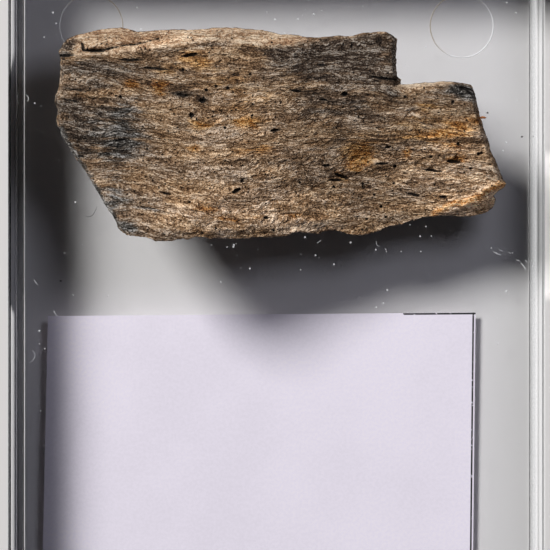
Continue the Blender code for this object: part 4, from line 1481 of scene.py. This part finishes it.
@dataclass
class Dust:
    """The hairs, fibres and specks that have settled in the tray."""

    # The pale lint and the fine dust glow a little, as painted light.
    pale_and_painted_light: DustFinish = DustFinish("pale_lint", (0.62, 0.62, 0.64), (0.88, 0.88, 0.90), 0.55)
    dark: DustFinish = DustFinish("dark_lint", (0.02, 0.02, 0.02), (0.06, 0.05, 0.04))
    fine: DustFinish = DustFinish("fine_dust", (0.34, 0.34, 0.35), (0.46, 0.46, 0.47), 0.85)
    crumb: DustFinish = DustFinish("rust_crumb", (0.30, 0.08, 0.02), (0.55, 0.22, 0.07))
    floor: float = 1.5
    spread: Place = (25.6, 38.6)
    specks_per_area: float = 420000.0  # for each square metre
    speck_size: float = 0.08
    thinnest: float = 0.15  # the share of specks in the barest places
    least_scale: float = 0.60
    sides: int = 5
    thin_ends: float = 0.35  # a strand's thickness at its ends, as a share
    seed: int = 11
    black_size: Colour = (0.11, 0.09, 0.07)
    black_lift: float = 0.08
    black_specks: tuple = ((-22.6, 5.7), (22.1, 23.3), (25.7, 20.8), (27.2, 20.8), (-21.2, -5.7))
    crumb_place: Colour = (21.2, 22.5, 12.6)
    crumb_size: Colour = (0.34, 0.13, 0.12)

    def strand(self, route: Sequence[Colour], thickness: float) -> Parts:
        """Return the points and faces of a thin closed tube along a smooth route.

        Args:
            route: the points that it passes through.
            thickness: its diameter in its middle.

        Returns:
            The points, and the faces as point numbers.
        """
        knots = np.array(route)
        places = np.linspace(0, len(knots) - 1, 8 * (len(knots) - 1) + 1)
        degree = min(len(knots) - 1, 3)
        curves = [np.polyfit(range(len(knots)), knots[:, axis], degree) for axis in range(3)]
        middle = np.column_stack([np.polyval(curve, places) for curve in curves])
        along = np.gradient(middle, axis=0)
        along /= np.linalg.norm(along, axis=1)[:, None]
        across = np.column_stack((-along[:, 1], along[:, 0], np.zeros(len(along))))
        across /= np.linalg.norm(across, axis=1)[:, None]
        up = np.cross(along, across)
        turns = np.linspace(0, 2 * math.pi, self.sides, endpoint=False)
        swell = np.sin(np.linspace(0.2, math.pi - 0.2, len(middle)))
        width = thickness / 2 * (self.thin_ends + (1 - self.thin_ends) * swell)
        points = [
            middle[n] + width[n] * (math.cos(turn) * across[n] + math.sin(turn) * up[n])
            for n in range(len(middle))
            for turn in turns
        ]
        return points, tube_faces(len(middle), self.sides)

    def grain(self, middle: Colour, half_size: Colour) -> Parts:
        """Return the points and faces of a small lumpy grain.

        Args:
            middle: its middle.
            half_size: half its size along X, Y and Z.

        Returns:
            The points, and the faces as point numbers.
        """
        shape = bmesh.new()
        bmesh.ops.create_icosphere(shape, subdivisions=2, radius=1.0)
        points = []
        for vertex in shape.verts:
            x, y, z = vertex.co
            lump = 1 + 0.16 * math.sin(3.1 * x + 2.2 * y) + 0.12 * math.cos(4.3 * z - 2.0 * y)
            points.append([m + lump * h * c for m, h, c in zip(middle, half_size, (x, y, z))])
        faces = [tuple(corner.index for corner in face.verts) for face in shape.faces]
        shape.free()
        return points, faces

    def gather(self, name: str, parts: Iterable[Parts]) -> Mesh:
        """Return one mesh of several small pieces.

        Args:
            name: the mesh's name.
            parts: each piece's points and faces.

        Returns:
            The mesh.
        """
        points, faces = [], []
        for some_points, some_faces in parts:
            start = len(points)
            points.extend(some_points)
            faces.extend(tuple(start + corner for corner in face) for face in some_faces)
        return mesh_from(name, points, faces)

    def scatter(self, material: Material) -> Recipe:
        """Return the recipe that strews specks over a face.

        Args:
            material: the specks' finish.

        Returns:
            The recipe.
        """
        recipe = Recipe("settled_specks")
        wiring = recipe.wiring
        crowd = recipe.input("Specks per area", self.specks_per_area)
        size = recipe.input("Speck size", self.speck_size * MM)
        seed = recipe.input("Seed", self.seed, "Int")
        position = wiring.add("GeometryNodeInputPosition").outputs[0]
        patch = wiring.noise(millimetres(wiring, position), (0.09,) * 3)
        thick = wiring.rescale(patch, 0.35, 0.68, self.thinnest, 1.0)
        inputs = {"Mesh": recipe.entry.outputs["Geometry"], "Seed": seed}
        inputs["Density"] = wiring.math("MULTIPLY", crowd, thick)
        strewn = wiring.add(
            "GeometryNodeDistributePointsOnFaces", inputs, distribute_method="RANDOM"
        )
        speck = wiring.add("GeometryNodeMeshIcoSphere", {"Radius": size, "Subdivisions": 1})
        inputs = {"Seed": seed, 2: 0.0, 3: 1.0}
        chance = wiring.add("FunctionNodeRandomValue", inputs, data_type="FLOAT")
        scale = wiring.math("POWER", chance.outputs[1], 2.0)
        scale = wiring.math("ADD", scale, self.least_scale)
        inputs = {"Points": strewn.outputs[0], "Instance": speck.outputs[0], "Scale": scale}
        placed = wiring.add("GeometryNodeInstanceOnPoints", inputs)
        recipe.give(placed.outputs[0], material)
        return recipe

    def build(self) -> None:
        """Make the dust."""
        pale_and_painted_light, dark, fine = (finish.material() for finish in (self.pale_and_painted_light, self.dark, self.fine))
        z = self.floor + self.black_lift
        grains = [self.grain((x, y, z), self.black_size) for x, y in self.black_specks]
        for name, shade, material, more in (
            ("pale_lint", False, pale_and_painted_light, []), ("dark_lint", True, dark, grains)
        ):
            parts = [self.strand(s.route, s.thickness) for s in STRANDS if s.dark == shade]
            settle(self.gather(name, parts + more), name, material, "label")
        crumb = self.gather("rust_crumb", [self.grain(self.crumb_place, self.crumb_size)])
        settle(crumb, "rust_crumb", self.crumb.material(), "bone")
        sheet = level_face("sheet", *self.spread, self.floor + 0.5 * self.speck_size)
        specks = self.scatter(fine).run(sheet, "settled_specks")
        settle(specks, "settled_specks", fine, "label")


# Surroundings


@dataclass(frozen=True)
class SoftLight:
    """A round light, with its sizes in metres and its power in watts."""

    travel: Colour  # the way its light goes
    distance: float
    size: float
    power: float
    shade: Colour


@dataclass
class Studio:
    """The pale floor, the lights and the camera."""

    view_width: float = 57.75
    camera_height: float = 600.0
    camera_place: Place = (-0.16, 6.32)
    sensor: float = 36.0
    nearest: float = 0.01  # what is nearer to the camera is not drawn, in metres
    target: Colour = (0.0, 0.012, 0.0)  # where the soft lights point, in metres
    key: SoftLight = SoftLight((0.85, -0.735, -1.0), 1.6, 0.48, 26.8, (1.0, 1.0, 1.0))
    fill: SoftLight = SoftLight((-0.353, -0.347, -1.0), 0.19, 0.058, 0.041, (0.96, 0.98, 1.14))
    ambient: float = 0.012
    ground_reach: float = 900.0
    ground_height: float = -0.05
    floor_shade: Colour = (0.93, 0.90, 0.89)
    floor_roughness: float = 0.9
    strip_place: Colour = (28.75, 11.5, 11.0)
    strip_size: Place = (2.5, 15.0)
    strip_spread: float = 8.0
    strip_power: float = 6.8e-5

    def lamp(self, name: str, shape: str, size: float, power: float) -> Thing:
        """Add an area light at the origin.

        Args:
            name: the light's name.
            shape: its outline.
            size: its width in metres.
            power: its power in watts.

        Returns:
            The light.
        """
        data = bpy.data.lights.new(name, "AREA")
        data.shape, data.size, data.energy = shape, size, power
        lamp = bpy.data.objects.new(name, data)
        bpy.context.scene.collection.objects.link(lamp)
        return lamp

    def soft(self, name: str, light: SoftLight) -> None:
        """Add a round soft light.

        Args:
            name: the light's name.
            light: its place, size, power and colour.
        """
        lamp = self.lamp(name, "DISK", light.size, light.power)
        lamp.data.color = light.shade
        travel = Vector(light.travel).normalized()
        lamp.location = Vector(self.target) - travel * light.distance
        lamp.rotation_euler = travel.to_track_quat("-Z", "Y").to_euler()

    def strip(self) -> None:
        """Light the floor just outside the right wall, where the bone's shadow would fall."""
        width, length = self.strip_size
        lamp = self.lamp("strip", "RECTANGLE", width * MM, self.strip_power)
        lamp.data.size_y = length * MM
        lamp.data.spread = math.radians(self.strip_spread)
        lamp.location = Vector(self.strip_place) * MM
        for sight in ("camera", "glossy", "transmission"):
            setattr(lamp, f"visible_{sight}", False)

    def build(self) -> None:
        """Set the floor, the lights, the world and the camera."""
        scene = bpy.context.scene
        scene.view_settings.view_transform = "Standard"
        ground = level_face("ground", self.ground_reach, self.ground_reach, self.ground_height)
        material, wiring, shader = new_material("pale_floor")
        shade = (*self.floor_shade, 1.0)
        wiring.feed(shader, {"Base Color": shade, "Roughness": self.floor_roughness})
        ground.materials.append(material)
        place(ground, "ground")
        world = bpy.data.worlds.new("studio")
        world.use_nodes = True
        background = world.node_tree.nodes["Background"]
        background.inputs["Color"].default_value = (*self.fill.shade, 1.0)
        background.inputs["Strength"].default_value = self.ambient
        scene.world = world
        self.soft("key", self.key)
        self.soft("fill", self.fill)
        self.strip()
        lens = bpy.data.cameras.new("camera")
        lens.sensor_width = self.sensor
        lens.lens = self.sensor * self.camera_height / self.view_width
        lens.clip_start = self.nearest
        camera = bpy.data.objects.new("camera", lens)
        scene.collection.objects.link(camera)
        x, y = self.camera_place
        camera.location = Vector((x, y, self.camera_height)) * MM
        scene.camera = camera


def main() -> None:
    """Build the scene piece by piece."""
    logging.basicConfig(level=logging.INFO, format="%(message)s")
    Studio().build()
    tray = ClearTray(ClearFinish())
    tray.build()
    tray.rings(RingFinish().material())
    tray.shade()
    tray.block_fill()
    LabelCard(PaperFinish()).build()
    BoneFragment(FossilFinish()).build()
    Dust().build()


if __name__ == "__main__":
    main()
